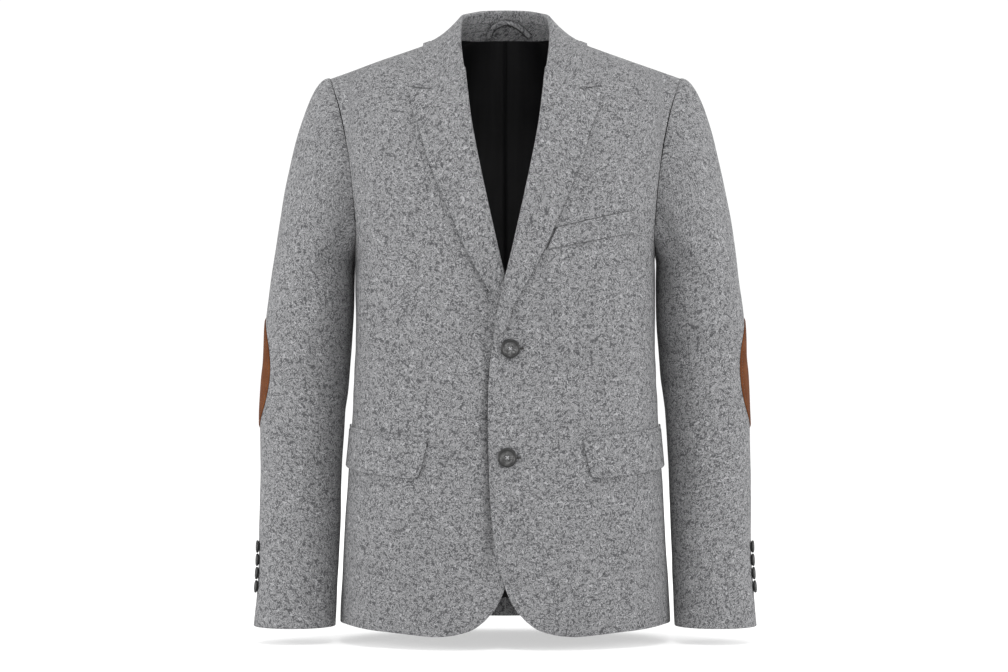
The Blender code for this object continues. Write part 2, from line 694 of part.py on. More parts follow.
def collar_stand(cloth):
    stations = np.linspace(-STAND_END, STAND_END, 25)
    outer, inner = thicken(stand_rows(stations, (0.0, 0.5, 1.0)), COLLAR_WALL)
    wall("collar_stand", outer, inner, cloth)


def hanger_loop(cloth):
    """A strap that arches over the inside of the stand."""
    centre = along(HANGER_LOOP, 14)
    across = unit(np.gradient(centre, axis=0))[:, ::-1] * [-1, 1]
    stations = np.linspace(-2, 2, 41)
    band = stand_rows(stations, (0.0, 1.0))
    edges = []
    for share in (-0.5, 0.5):
        spot = centre + across * LOOP_WIDTH * share
        middle = []
        for x, z in spot:
            height = (z - band[0, :, 2]) / (band[1, :, 2] - band[0, :, 2])
            line = band[0] + (band[1] - band[0]) * height[:, None]
            middle.append((x, np.interp(x, line[:, 0], line[:, 1]), z))
        edges.append(middle)
    grid = np.array(edges)
    near = np.array([0, COLLAR_WALL / 2 + 1.5 * REST, 0])
    wall("hanger_loop", grid - near, grid - near - [0, LOOP_WALL, 0], cloth)


# ---------------------------------------------------------------- pockets

def angle_at(distance):
    """Angle on the body ring at the pockets, this far round from the centre front."""
    angles = np.linspace(0, math.pi, 2000)
    line = ring_point(angles, POCKET_LEVEL)
    length = np.concatenate([[0], np.cumsum(np.linalg.norm(np.diff(line, axis=0), axis=1))])
    return np.interp(distance, length, angles)


def pocket_start():
    angles = np.linspace(0, math.pi / 2, 2000)
    line = ring_point(angles, POCKET_LEVEL)
    length = np.concatenate([[0], np.cumsum(np.linalg.norm(np.diff(line, axis=0), axis=1))])
    return np.interp(FLAP_START_X, line[:, 0], length)


def pocket_wall(name, flat, near, far, finish):
    angle, z = angle_at(flat[..., 0]), flat[..., 1]
    for side, mirror in sides():
        wall(name + side, on_ring(angle, z, far), on_ring(angle, z, near), finish, mirror)


def flaps(cloth):
    start = pocket_start()
    end = start + FLAP_LENGTH
    slope = FLAP_RISE / FLAP_LENGTH
    turn = math.radians(45)
    arc_x = start + FLAP_LEAN + FLAP_CORNER
    arc_z = FLAP_TOP - FLAP_DROP + FLAP_CORNER
    corner = (arc_x - FLAP_CORNER * math.sin(turn), arc_z - FLAP_CORNER * math.cos(turn))
    upper = along([(start, FLAP_TOP), (end, FLAP_TOP + FLAP_RISE)], 10)
    shoulder = (arc_x - FLAP_CORNER, arc_z)
    inner = along([corner, shoulder, (start + FLAP_LEAN / 2, (arc_z + FLAP_TOP) / 2), (start, FLAP_TOP)], 5)
    base = (arc_x, arc_z - FLAP_CORNER)
    far_base = (end, base[1] + slope * (end - base[0]))
    lower = join(along([corner, base], 1), along([base, far_base], 9))
    outer = along([far_base, (end, FLAP_TOP + FLAP_RISE)], 5)
    flat = patch(inner, outer, lower, upper)
    hang = np.linspace(1.0, 0.0, 6)[:, None]
    near = REST + FLAP_HANG * hang + 0 * flat[..., 0]
    pocket_wall("flap_", flat, near, near + FLAP_WALL, cloth)


def jets(cloth):
    start = pocket_start()
    end = start + FLAP_LENGTH
    low = along([(start, FLAP_TOP + SEAM), (end, FLAP_TOP + FLAP_RISE + SEAM)], 10)
    flat = np.stack([low, low + [0, JET_HEIGHT / 2], low + [0, JET_HEIGHT]])
    near = REST + 0 * flat[..., 0]
    pocket_wall("jet_", flat, near, near + TRIM_WALL, cloth)


def chest_welt(cloth):
    low_in, high_in, high_out, low_out = WELT
    flat = patch(along([low_in, high_in], 2), along([low_out, high_out], 2),
                 along([low_in, low_out], 8), along([high_in, high_out], 8))
    x, z = flat[..., 0], flat[..., 1]
    near = REST + 0 * x
    wall("chest_welt", on_body(x, z, -1, near + TRIM_WALL), on_body(x, z, -1, near), cloth)


# ---------------------------------------------------------------- sleeves

def arm_point(angle, z):
    """Outside of the sleeve below the armhole. Angle 0 is its outer side, 90 degrees its front."""
    heights = column(SLEEVE_RINGS, 0)[::-1]
    ring = [through(z, heights, column(SLEEVE_RINGS, i)[::-1]) for i in range(1, 5)]
    return np.stack([ring[0] + ring[2] * np.cos(angle), ring[1] - ring[3] * np.sin(angle),
                     z + 0 * ring[0] + 0 * angle], axis=-1)


def armhole_loop():
    """The armhole as a closed line: from the shoulder down the front, under, and up the back."""
    front = along(ARMHOLE_FRONT, ROWS_ABOVE, crowd_top)[::-1]
    back = along(ARMHOLE_BACK, ROWS_ABOVE, crowd_top)
    under = underarm(UNDERARM_COLUMNS)
    return join(on_body(front[:, 0], front[:, 1], -1), ring_point(under[:, 0], under[:, 1]),
                on_body(back[:, 0], back[:, 1], 1))


def armhole_point(angle):
    """The armhole at an angle: 0 at the shoulder, 90 degrees in front, 180 under the arm."""
    loop = armhole_loop()
    length = np.concatenate([[0], np.cumsum(np.linalg.norm(np.diff(loop, axis=0), axis=1))])
    front = int(np.argmin(loop[:, 1]))
    lowest = int(np.argmin(loop[:, 2]))
    back = int(np.argmax(loop[:, 1]))
    marks = np.radians([0, 90, 180, 270, 360])
    wanted = np.interp(np.mod(angle, 2 * math.pi), marks, length[[0, front, lowest, back, len(loop) - 1]])
    return np.stack([np.interp(wanted, length, loop[:, axis]) for axis in range(3)], axis=-1)


def cap_point(angle, share):
    """Outside of the sleeve head, from the armhole (0) down to the first sleeve ring (1)."""
    start = armhole_point(angle)
    end = arm_point(angle, np.full_like(angle, SLEEVE_TOP))
    centre = armhole_loop().mean(axis=0)
    radial = unit((start - centre) * [0, 1, 1])
    top = np.clip(np.cos(angle), 0, 1)[..., None]
    under = np.clip(-np.cos(angle), 0, 1)[..., None]
    level = np.abs(np.sin(angle))[..., None]
    gap = SLEEVE_GAP * (1 + HEAD_GAP_SHARE * top)
    start = start + np.array([1.0, 0, 0]) * gap + radial * SLEEVE_ROPE * top
    leave = unit(np.array([1.0, 0, 0]) + radial * (CAP_LEAVE["top"] * top + CAP_LEAVE["level"] * level
                                                 + CAP_LEAVE["under"] * under))
    arrive = unit(arm_point(angle, np.full_like(angle, SLEEVE_TOP - 1))
                  - arm_point(angle, np.full_like(angle, SLEEVE_TOP)))
    reach = np.linalg.norm(end - start, axis=-1, keepdims=True)
    s = share[..., None]
    return (start * (1 + 2 * s) * (1 - s) ** 2 + leave * CAP_PULL[0] * reach * s * (1 - s) ** 2
            + end * s * s * (3 - 2 * s) - arrive * CAP_PULL[1] * reach * s * s * (1 - s))


CAP_ROWS = 7
ARM_ROWS = 11


def sleeve_point(angle, row):
    """Outside of the sleeve at a row, 0 at the armhole and the last at the cuff."""
    angle, row = np.broadcast_arrays(np.asarray(angle, float), np.asarray(row, float))
    cap = cap_point(angle, np.clip(row / CAP_ROWS, 0, 1))
    arm = arm_point(angle, SLEEVE_TOP + (CUFF - SLEEVE_TOP) * np.clip(row - CAP_ROWS, 0, None) / ARM_ROWS)
    return np.where((row > CAP_ROWS)[..., None], arm, cap)


def sleeve_grid(first, last, columns, lift):
    angle = np.radians(np.linspace(first, last, columns + 1))[None]
    row = np.arange(CAP_ROWS + ARM_ROWS + 1.0)[:, None]
    angle, row = np.broadcast_arrays(angle, row)
    e = 0.02
    across = sleeve_point(angle + e, row) - sleeve_point(angle - e, row)
    down = sleeve_point(angle, row + e) - sleeve_point(angle, row - e)
    return sleeve_point(angle, row) + unit(np.cross(across, down)) * lift


def sleeves(cloth):
    tuck = math.degrees(SEAM / 2 / SLEEVE_RINGS[0][3])
    spans = {
        "top_sleeve_": (BACK_SLEEVE_SEAM + tuck, FRONT_SLEEVE_SEAM - tuck, 16),
        "under_sleeve_": (FRONT_SLEEVE_SEAM + tuck, BACK_SLEEVE_SEAM + 360 - tuck, 9),
    }
    for name, (first, last, columns) in spans.items():
        outer = sleeve_grid(first, last, columns, 0.0)
        inner = sleeve_grid(first, last, columns, -SLEEVE_WALL)
        for side, mirror in sides():
            wall(name + side, outer, inner, cloth, mirror)


def on_arm(angle, z, lift):
    return lifted(arm_point, angle, z, lift, -0.01, 0.5)


def elbow_patches(suede):
    u = np.linspace(-1, 1, 9)[None]
    v = np.linspace(-1, 1, 11)[:, None]
    across = u * np.sqrt(1 - v * v / 2)
    up = v * np.sqrt(1 - u * u / 2)
    centre_angle, centre_z = PATCH_CENTRE
    angle = math.radians(centre_angle) - across * PATCH_HALF_WIDTH / PATCH_ARM_RADIUS
    z = centre_z + up * PATCH_HALF_HEIGHT
    near = REST + 0 * z
    for side, mirror in sides():
        outside = on_arm(angle, z, near + PATCH_WALL)
        wall("elbow_patch_" + side, outside, on_arm(angle, z, near), suede, mirror)


# ---------------------------------------------------------------- buttons

def turned(profile, count):
    """Points and faces of a disc turned from a profile, which closes flat at both ends."""
    points = [np.zeros(3)]
    for radius, height in profile:
        for k in range(count):
            turn = 2 * math.pi * k / count
            points.append(np.array([radius * math.cos(turn), radius * math.sin(turn), height]))
    points.append(np.array([0, 0, profile[-1][1]]))
    faces = []
    for k in range(count):
        after = (k + 1) % count
        faces.append([0, 1 + after, 1 + k])
        for ring in range(len(profile) - 1):
            a, b = 1 + ring * count, 1 + (ring + 1) * count
            faces.append([a + k, a + after, b + after, b + k])
        b = 1 + (len(profile) - 1) * count
        faces.append([b + k, b + after, len(points) - 1])
    return np.array(points), faces


def placed(points, spot, outward):
    """Points of a disc moved to a spot, with the disc's axis along the outward direction."""
    outward = unit(outward)
    across = unit(np.cross([0, 0, 1.0], outward))
    up = np.cross(outward, across)
    return spot + points @ np.stack([across, up, outward])


def front_buttons(horn):
    points, faces = turned(FRONT_BUTTON_PROFILE, 18)
    height = FRONT_BUTTON_PROFILE[3][1]
    for name, (x, z) in FRONT_BUTTONS.items():
        base = on_body(x, z, -1, BUTTON_LIFT)
        outward = on_body(x, z, -1, BUTTON_LIFT + 1) - base
        button = add("front_button_" + name, placed(points, base, outward), faces, horn)
        for k in range(4):
            turn = math.radians(45 + 90 * k)
            rod, rod_faces = turned([(BUTTON_HOLE_RADIUS, -1.0), (BUTTON_HOLE_RADIUS, height + 1)], 6)
            rod = rod + [BUTTON_HOLE_REACH * math.cos(turn), BUTTON_HOLE_REACH * math.sin(turn), 0]
            rod[0, 2] = -1.0
            hole = add(f"hole_{name}_{k}", placed(rod, base, outward), rod_faces, horn)
            hole.hide_render = True
            hole.display_type = "WIRE"
            cut = button.modifiers.new("hole", "BOOLEAN")
            cut.operation = "DIFFERENCE"
            cut.solver = "EXACT"
            cut.object = hole


def cuff_buttons(horn):
    points, faces = turned(CUFF_BUTTON_PROFILE, 12)
    angle = np.radians(CUFF_BUTTON_ANGLE)
    for side, mirror in sides():
        for number in range(4):
            z = CUFF_BUTTON_FIRST - CUFF_BUTTON_STEP * number
            spot = on_arm(angle, np.float64(z), BUTTON_LIFT)
            outward = on_arm(angle, np.float64(z), BUTTON_LIFT + 1) - spot
            made = placed(points, spot, outward)
            if mirror:
                made = made * [-1, 1, 1]
            add(f"cuff_button_{side}_{number + 1}", made, faces, horn)


# ---------------------------------------------------------------- the jacket

def clear_scene():
    for thing in list(bpy.data.objects):
        bpy.data.objects.remove(thing, do_unlink=True)


def build():
    clear_scene()
    tweed = material("grey_tweed", (0.27, 0.27, 0.28), 0.95)
    silk = material("black_lining", (0.010, 0.010, 0.011), 0.55)
    suede = material("brown_suede", (0.21, 0.085, 0.045), 0.9)
    horn = material("dark_horn", (0.05, 0.05, 0.052), 0.35)
    fronts(tweed)
    side_bodies(tweed)
    backs(tweed)
    linings(silk)
    lapels(tweed)
    collar(tweed)
    collar_stand(tweed)
    hanger_loop(tweed)
    flaps(tweed)
    jets(tweed)
    chest_welt(tweed)
    sleeves(tweed)
    elbow_patches(suede)
    front_buttons(horn)
    cuff_buttons(horn)


build()
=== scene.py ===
"""The looks of a two-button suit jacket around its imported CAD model.

Sizes are in millimetres and become metres where a mesh is made. The front faces -Y, the
wearer's left is +X and up is +Z.
"""
import math

import bpy
import numpy as np
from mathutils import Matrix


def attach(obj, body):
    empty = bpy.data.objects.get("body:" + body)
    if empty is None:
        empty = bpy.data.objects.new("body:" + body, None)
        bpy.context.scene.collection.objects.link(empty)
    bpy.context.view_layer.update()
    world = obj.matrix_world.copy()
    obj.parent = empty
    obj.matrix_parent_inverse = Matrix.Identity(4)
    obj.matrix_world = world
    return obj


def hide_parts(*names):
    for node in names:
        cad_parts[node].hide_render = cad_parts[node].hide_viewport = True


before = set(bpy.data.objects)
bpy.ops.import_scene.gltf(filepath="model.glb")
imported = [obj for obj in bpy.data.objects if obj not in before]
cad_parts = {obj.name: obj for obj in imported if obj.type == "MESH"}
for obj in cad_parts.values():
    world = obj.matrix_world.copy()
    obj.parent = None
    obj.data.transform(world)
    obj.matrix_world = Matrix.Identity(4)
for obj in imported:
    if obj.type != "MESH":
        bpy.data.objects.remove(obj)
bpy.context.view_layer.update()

MM = 0.001
SIDES = (("left", False), ("right", True))     # left as it is worked out, right as its mirror image

# Cloth
SEAM = 0.06                 # gap between neighbouring pieces
SHELL = 2.2                 # wool with its canvas, in the body
SLEEVE_WALL = 2.0
LINING_WALL = 1.0
COLLAR_WALL = 1.8
FLAP_WALL = 2.4
TRIM_WALL = 1.8             # pocket jets and the breast welt
LOOP_WALL = 1.4
LINING_REST = 1.8           # gap between the back and its lining, twice that below the neck
REST = 0.8                  # gap under a piece that lies on a curved panel, so that facets clear

# Body rings are rounded rectangles, the power below being 2 for an ellipse
BODY_ROUND = 2.5
BODY_RINGS = [
    # height, half width, depth in front, depth behind
    (-690, 201.0, 128, 116),
    (-600, 197.0, 127, 112),
    (-500, 191.0, 124, 102),
    (-425, 186.0, 122, 94),
    (-340, 182.5, 123, 92),
    (-280, 182.0, 129, 100),
    (-225, 183.5, 131, 109),
    (-154, 195.0, 129, 116),
    (-90, 206.5, 126, 116),
    (-50, 217.0, 124, 113),
    (-19, 230.0, 122, 109),
    (60, 250.0, 118, 98),
]

# Shoulder line, which slopes from the neck point to the sleeve head
NECK_X = 72.0
NECK_Z = 34.6
SHOULDER_SLOPE = 0.353
SHOULDER_X = 214.0
SHOULDER_SEAM_Y = 8.0
NECK_RISE = {-1: 20.0, 1: 100.0}        # how far the body climbs toward the neck, front and back
CURVE_START = {-1: -190.0, 1: -120.0}   # height where the chest and the back turn toward the shoulder
CLOSE_POWER = 0.52

# Front edge, cutaway and hem of one front, from the turn of the cutaway up to the neck
FRONT_EDGE = [
    # x, height
    (24.2, -664.6), (13.7, -653.0), (4.3, -636.5), (-2.7, -617.0), (-10.9, -587.0),
    (-16.0, -543.0), (-19.0, -490.0), (-19.0, -380.0), (-16.0, -346.4), (-12.6, -326.0),
    (-6.2, -296.0), (0.3, -266.0), (7.0, -239.0), (17.3, -194.0), (27.6, -147.0),
    (35.0, -111.0), (41.3, -76.0), (46.2, -38.0), (48.6, -18.0),
]
FRONT_NECK = [
    # x, height
    (48.6, -18.0), (55.5, -11.0), (57.5, 0.0), (60.0, 12.0), (65.0, 25.0), (NECK_X, NECK_Z),
]
FRONT_HEM = [
    # x, height
    (24.2, -664.6), (37.0, -674.0), (54.6, -680.0), (81.5, -683.3), (108.0, -682.0),
    (138.0, -680.0), (161.0, -678.5),
]
SIDE_HEM = -675.5
BACK_HEM = -683.5
HEM_CLIMB = 0.7             # share of the step between the two hems that the back's hem climbs
HEM_CLIMB_FROM = 60.0       # x where the climb starts
HEM_CLIMB_TOP = -560.0      # height where the rows no longer follow it
HEM_CLIMB_SPAN = 120.0

# Seams of the side body, as shares of the ring's half width
FRONT_SEAM_SHARE = 0.9555
SIDE_TUCK = {"front": 2.5, "back": 2.0}     # half gaps that the side body stays clear of its seams
BACK_SEAM = [
    # height, share
    (-690, 0.860), (-500, 0.865), (-340, 0.880), (-240, 0.925), (-195, 0.952),
]

# Armhole
ARMHOLE_FRONT = [
    # x, height
    (180.2, -192.0), (183.0, -154.0), (186.6, -123.0), (192.5, -90.0), (202.0, -50.0),
    (208.5, -30.0), (SHOULDER_X, NECK_Z - SHOULDER_SLOPE * (SHOULDER_X - NECK_X)),
]
ARMHOLE_BACK = [
    # x, height
    (179.0, -195.0), (180.5, -165.0), (184.0, -130.0), (190.0, -90.0), (201.0, -50.0),
    (208.0, -30.0), (SHOULDER_X, NECK_Z - SHOULDER_SLOPE * (SHOULDER_X - NECK_X)),
]
UNDERARM_DROP = 38.5

# Overlap: how far the right front sinks to pass under the left one
UNDER_SINK = [
    # height, sink
    (-690, 3.4), (-365, 3.4), (-325, 7.0), (-262, 7.0), (-205, 0.0), (60, 0.0),
]
UNDER_RAMP = 46.0
UNDER_START = 8.0           # how far inside the left front's edge the ramp ends

DIP_X, DIP_WIDTH, DIP_DEPTH = 17.0, 8.0, 5.0    # a soft trough of the under front beside the overlap
DIP_TOP, DIP_FOOT, DIP_EASE = -322.0, -640.0, 60.0

# Lapel
LAPEL_EDGE = [
    # x, height
    (-8.0, -329.0), (0.8, -321.8), (5.5, -309.0), (10.0, -293.7), (19.0, -277.3),
    (31.6, -255.0), (47.4, -224.6), (61.6, -191.5), (78.8, -151.0), (89.0, -125.0),
    (102.0, -82.0), (109.5, -61.0), (112.0, -47.6), (114.7, -36.5),
]
LAPEL_END = [(-12.0, -324.0), (-8.0, -329.0)]
GORGE = [(49.5, -9.6), (85.2, -38.4)]
NOTCH_LAPEL = (114.7, -36.5)
NOTCH_SHARE = 0.61          # share of the lapel's width where the notch starts
LAPEL_ROLL = [
    # share of the width, outer lift
    (0.0, 2.0), (0.05, 4.4), (0.12, 5.2), (0.26, 4.8), (0.44, 4.2), (NOTCH_SHARE, 3.8), (1.0, 3.5),
]
ROLL_SPAN = (-324.0, -20.0)     # heights between which the lapel's inner edge is the front's edge
LAPEL_TIP_LIFT = 3.1        # at its lower end, where one lapel passes under the other
GORGE_GAP = 0.05
LAPEL_CLOTH = 2.0
LAPEL_EDGE_RISE = 0.9       # of the lapel's outer edge off the front
LAPEL_LOW = 0.25            # share of the lapel's height over which it rises to its full lift
CURL_START = 5              # rows over which the roll begins
GORGE_POWER = 6             # how fast the shape of the gorge ends below it

# Collar stations from the centre back round to its front end
COLLAR = [
    # neck seam x, z; fold x, y, z; outer edge x, z; leg below the fold; notch bend
    (0.0, 38.0, 0.0, 70.0, 75.0, 0.0, 28.0, 14.0, 0.0),
    (34.0, 37.5, 27.0, 64.0, 73.4, 45.0, 27.5, 14.0, 0.0),
    (58.0, 36.3, 44.0, 44.0, 67.8, 80.0, 25.5, 13.0, 0.0),
    (72.0, 34.6, 51.5, 14.0, 60.6, 98.0, 25.1, 12.0, 0.0),
    (65.0, 25.0, 54.0, -14.0, 47.0, 103.0, 6.0, 9.0, 0.0),
    (60.0, 12.0, 53.7, -39.0, 24.0, 106.5, -13.0, 5.0, 0.1),
    (57.5, 0.0, 51.3, -60.0, 2.0, 109.5, -24.0, 4.0, 0.4),
    (55.5, -11.0, 49.5, -72.0, -9.6, 112.0, -32.0, 3.5, 1.0),
]
COLLAR_FRONT = [
    # x, height, lift: the front end of the collar along the gorge and the notch
    (52.8, -11.9, 0.1), (50.8, -10.3, 0.4), (49.6, -9.3, 2.0), (51.0, -10.5, 3.8), (57.0, -15.3, 3.6),
    (70.0, -25.8, 3.1), (85.2, -38.1, 2.6), (99.0, -35.5, 2.3), (112.0, -32.0, 2.0),
]
NECK_CENTRE = (0.0, 10.0, 0.0)
FALL_SAG = 5.5              # of the fall where it turns over the shoulder
SAG_SPREAD = 1.3            # stations to each side of the shoulder seam
SHOULDER_STATION = 3        # where the neck seam and the outer edge cross the shoulder seam
FOLD_RADIUS = 2.0
STAND_GAP = 0.4
FALL_LIFT = 1.4             # of the middle of the fall above the body
STAND_END = 4.4             # the stand runs to this station on each side

# Pockets, measured round the body from the centre front
POCKET_LEVEL = -465.0
FLAP_START_X = 91.8
FLAP_LENGTH = 155.0
FLAP_TOP = -454.8
FLAP_RISE = 13.0            # from the front end to the back end
FLAP_DROP = 43.5
FLAP_LEAN = 7.0
FLAP_CORNER = 9.0
FLAP_HANG = 0.9             # how much further the free edge stands off
JET_HEIGHT = 5.0
WELT = [
    # x, height: the four corners, from the lower inner one round to the lower outer one
    (48.6, -228.5), (60.6, -202.5), (151.6, -181.4), (150.4, -207.7),
]
WELT_SEAM_OUT = 0.5         # the sewn line runs this far outside the welt's edge
WELT_SEAM_LIFT = 0.7
WELT_SEAM_RADIUS = 0.55

# Sleeve rings below the armhole, and the length of the sleeve
SLEEVE_RINGS = [
    # height, centre x, centre y, half width, half depth
    (-250, 234.5, 8, 50.0, 71.0),
    (-308, 238.5, 9, 53.5, 66.5),
    (-366, 242.6, 10, 53.4, 62.0),
    (-425, 245.7, 8, 53.0, 58.0),
    (-506, 248.8, 0, 50.4, 53.0),
    (-552, 249.3, -8, 49.6, 50.0),
    (-600, 250.2, -16, 48.6, 47.0),
    (-640, 252.2, -23, 48.4, 45.0),
    (-680, 254.4, -30, 49.4, 43.0),
]
SLEEVE_TOP = -250.0
CUFF = -679.5
SLEEVE_GAP = 0.15
SLEEVE_ROPE = 0.6
CAP_LEAVE = {"top": 0.15, "level": 0.30, "under": 1.5}     # slope of the sleeve head off the armhole
CAP_PULL = (0.40, 0.92)     # how far that slope, and the sleeve's own, reach into the head
FRONT_SLEEVE_SEAM = 115.0   # degrees from the outer side of the sleeve toward the front
BACK_SLEEVE_SEAM = -110.0

# Elbow patch and buttons
PATCH_CENTRE = (-20.5, -374.6)      # angle round the sleeve, height
PATCH_HALF_WIDTH = 61.0
PATCH_ARM_RADIUS = 57.7     # of the sleeve under the patch
PATCH_HALF_HEIGHT = 70.5
BUTTON_LIFT = 0.6
FRONT_BUTTONS = {"top": (6.0, -344.6), "low": (2.5, -472.7)}
FRONT_BUTTON_PROFILE = [
    # radius, height
    (8.6, 0.0), (9.8, 0.25), (10.7, 0.8), (11.3, 1.5), (11.4, 2.2), (11.25, 3.0), (10.85, 3.6), (10.3, 3.95),
    (9.7, 4.1), (9.1, 3.95), (8.5, 3.5), (7.9, 3.05), (7.0, 2.75), (5.6, 2.62), (4.4, 2.6),
]
CUFF_BUTTON_PROFILE = [
    # radius, height
    (6.0, 0.0), (6.9, 0.25), (7.5, 0.8), (7.7, 1.5), (7.6, 2.3), (7.25, 2.85), (6.7, 3.15), (6.2, 3.2),
    (5.7, 3.0), (5.2, 2.6), (4.6, 2.42), (3.6, 2.4),
]
BUTTON_SIDES = 64
CUFF_BUTTON_SIDES = 48
HOLE_SIDES = 20
BUTTON_HOLES = 4
BUTTON_HOLE_RADIUS = 1.1
BUTTON_HOLE_REACH = 2.6
CUFF_HOLE_RADIUS = 0.8
CUFF_HOLE_REACH = 1.75
CUFF_BUTTON_ANGLE = 11.0
CUFF_BUTTON_FIRST = -585.0
CUFF_BUTTON_STEP = 15.9
BUTTON_SHARP = math.radians(35)     # as SHARP, on a button
THREAD_APART = 0.36         # half the gap between the two strands on a diagonal of the front button
THREAD_LEVEL = 2.75         # their height at the holes
THREAD_SUNK = 1.6           # and inside them
THREAD_ARCH = (0.25, 0.60)  # rise of the lower and of the upper strands between the holes
BUTTON_THREAD = 0.34        # radius
BUTTON_FEET = np.radians([20, 140, 260])    # round the button, threads down to the cloth
CUFF_THREAD = 0.4

# Buttonhole: a slit with stitches across its edge
HOLE_START = -1.0           # from the button's middle
HOLE_REACH = 15.4
HOLE_HALF = 0.72
HOLE_ROUND = 0.9            # radius of its round end
HOLE_STEP = 0.62            # between stitches
HOLE_STITCH = 0.75          # half the length of a stitch
HOLE_THREAD = 0.33          # radius

# Elbow patch, stitched round just inside its edge
PATCH_LIFT = 1.7            # of the patch's outer side above the sleeve
PATCH_REST = 0.2            # of its inner side
PATCH_SINK = 0.45           # where the stitches pull it in
PATCH_STITCH = 0.935        # share of the way out where they run
PATCH_STITCHES = 118
PATCH_STITCH_SHARE = 0.62   # share of a stitch's length that shows
PATCH_STITCH_BEND = np.array([-0.15, 0.35, -0.15])
PATCH_THREAD = 0.42         # radius
PATCH_PULL = 0.03           # width of the line that they pull in
PATCH_ROUND = 0.975         # share of the way out where the edge starts to round off

# Lining and hanger loop
LINING_FREE = 60.0          # below the neck, where the lining's gap starts to double
LINING_EDGE = [
    # x, height: its outer edge, hidden inside the fronts
    (150.0, -660.0), (150.0, -300.0), (144.0, -150.0), (118.0, -75.0), (82.0, -20.0), (58.0, 32.0),
]
LINING_NECK = [
    # x, height
    (0.0, 40.4), (30.0, 39.6), (46.0, 37.2), (58.0, 32.0),
]
LINING_GROOVE = 1.3         # how far the lining dips at its middle seam
LINING_GROOVE_WIDTH = 1.8
LOOP_WIDTH = 8.0
LOOP_STANDS = 3.6           # how far the middle of the loop stands off the collar
LOOP_PROFILE = [
    # share of the width, share of the wall
    (-0.5, 0.0), (-0.44, 0.75), (-0.25, 1.0), (0.0, 0.9), (0.25, 1.0), (0.44, 0.75), (0.5, 0.0),
]
HANGER_LOOP = [
    # x, height
    (-20.5, 42.5), (-17.5, 50.0), (-9.0, 57.0), (2.0, 60.0), (14.0, 56.5), (24.0, 49.0), (31.0, 42.5),
]

# Grids, finer than the solids have, and the edges and pattern of the cloth
ROWS_BELOW = 84
ROWS_ABOVE = 56
UNDERARM_COLUMNS = 40
FRONT_COLUMNS = 72
BACK_COLUMNS = 60
NECK_ROWS = 24
BLADE_HEIGHT = -140.0
CAP_ROWS = 44
ARM_ROWS = 74
STITCH_SIDES = 6
TIP_SHARE = 0.45            # of a thread's radius at its tips
LINE_STEPS = 3000
NECK_LINE_STEPS = 600
SLOPE_STEP = 0.3            # millimetres to each side of a point for the slope of the body
RING_ANGLE_STEP = 0.004     # radians and millimetres, the same for the side bodies and the sleeves
ARM_ANGLE_STEP = -0.01
HEIGHT_STEP = 0.5
CAP_STEP = 0.02
LAPEL_ROWS = 120
COLLAR_COLUMNS = 141
LEG_SHARES = (0.0, 0.08, 0.35, 0.7, 1.0)            # rows of the collar's inner leg
FOLD_STEPS = 8
FALL_SHARES = (0.0, 0.2, 0.4, NOTCH_SHARE, 0.8, 1.0)    # of the fall at the last points of COLLAR_FRONT
STAND_COLUMNS = 121
STAND_SHARES = (0.0, 0.08, 0.35, 0.65, 0.92, 1.0)
LINING_GRID = (90, 42)      # rows, columns
FLAP_GRID = (30, 6, 80)     # rows; columns round the corner; columns in all
WELT_GRID = (16, 60)
TOP_SLEEVE_COLUMNS = 96
UNDER_SLEEVE_COLUMNS = 54
PATCH_GRID = (57, 65)
SLEEVE_ROW = 6.0            # millimetres from row to row of a sleeve
FOLD_FADE = 30.0            # depth over which the folds of one side of the body end
EDGE = 0.9                  # width of the rounded edge of a piece of cloth
EDGE_DROP = 0.22            # share of the thickness that an edge is rounded off by
BACK_EDGE_DROP = 0.42       # the same, beside the centre back seam
SHARP = math.radians(52)    # folds of a mesh past this angle are crisp edges
OTHER_CUT = [713.0, 389.0]  # where on the cloth the second of a pair is cut
BODY_UV_RADIUS = 160.0      # of the flat pattern of the side body

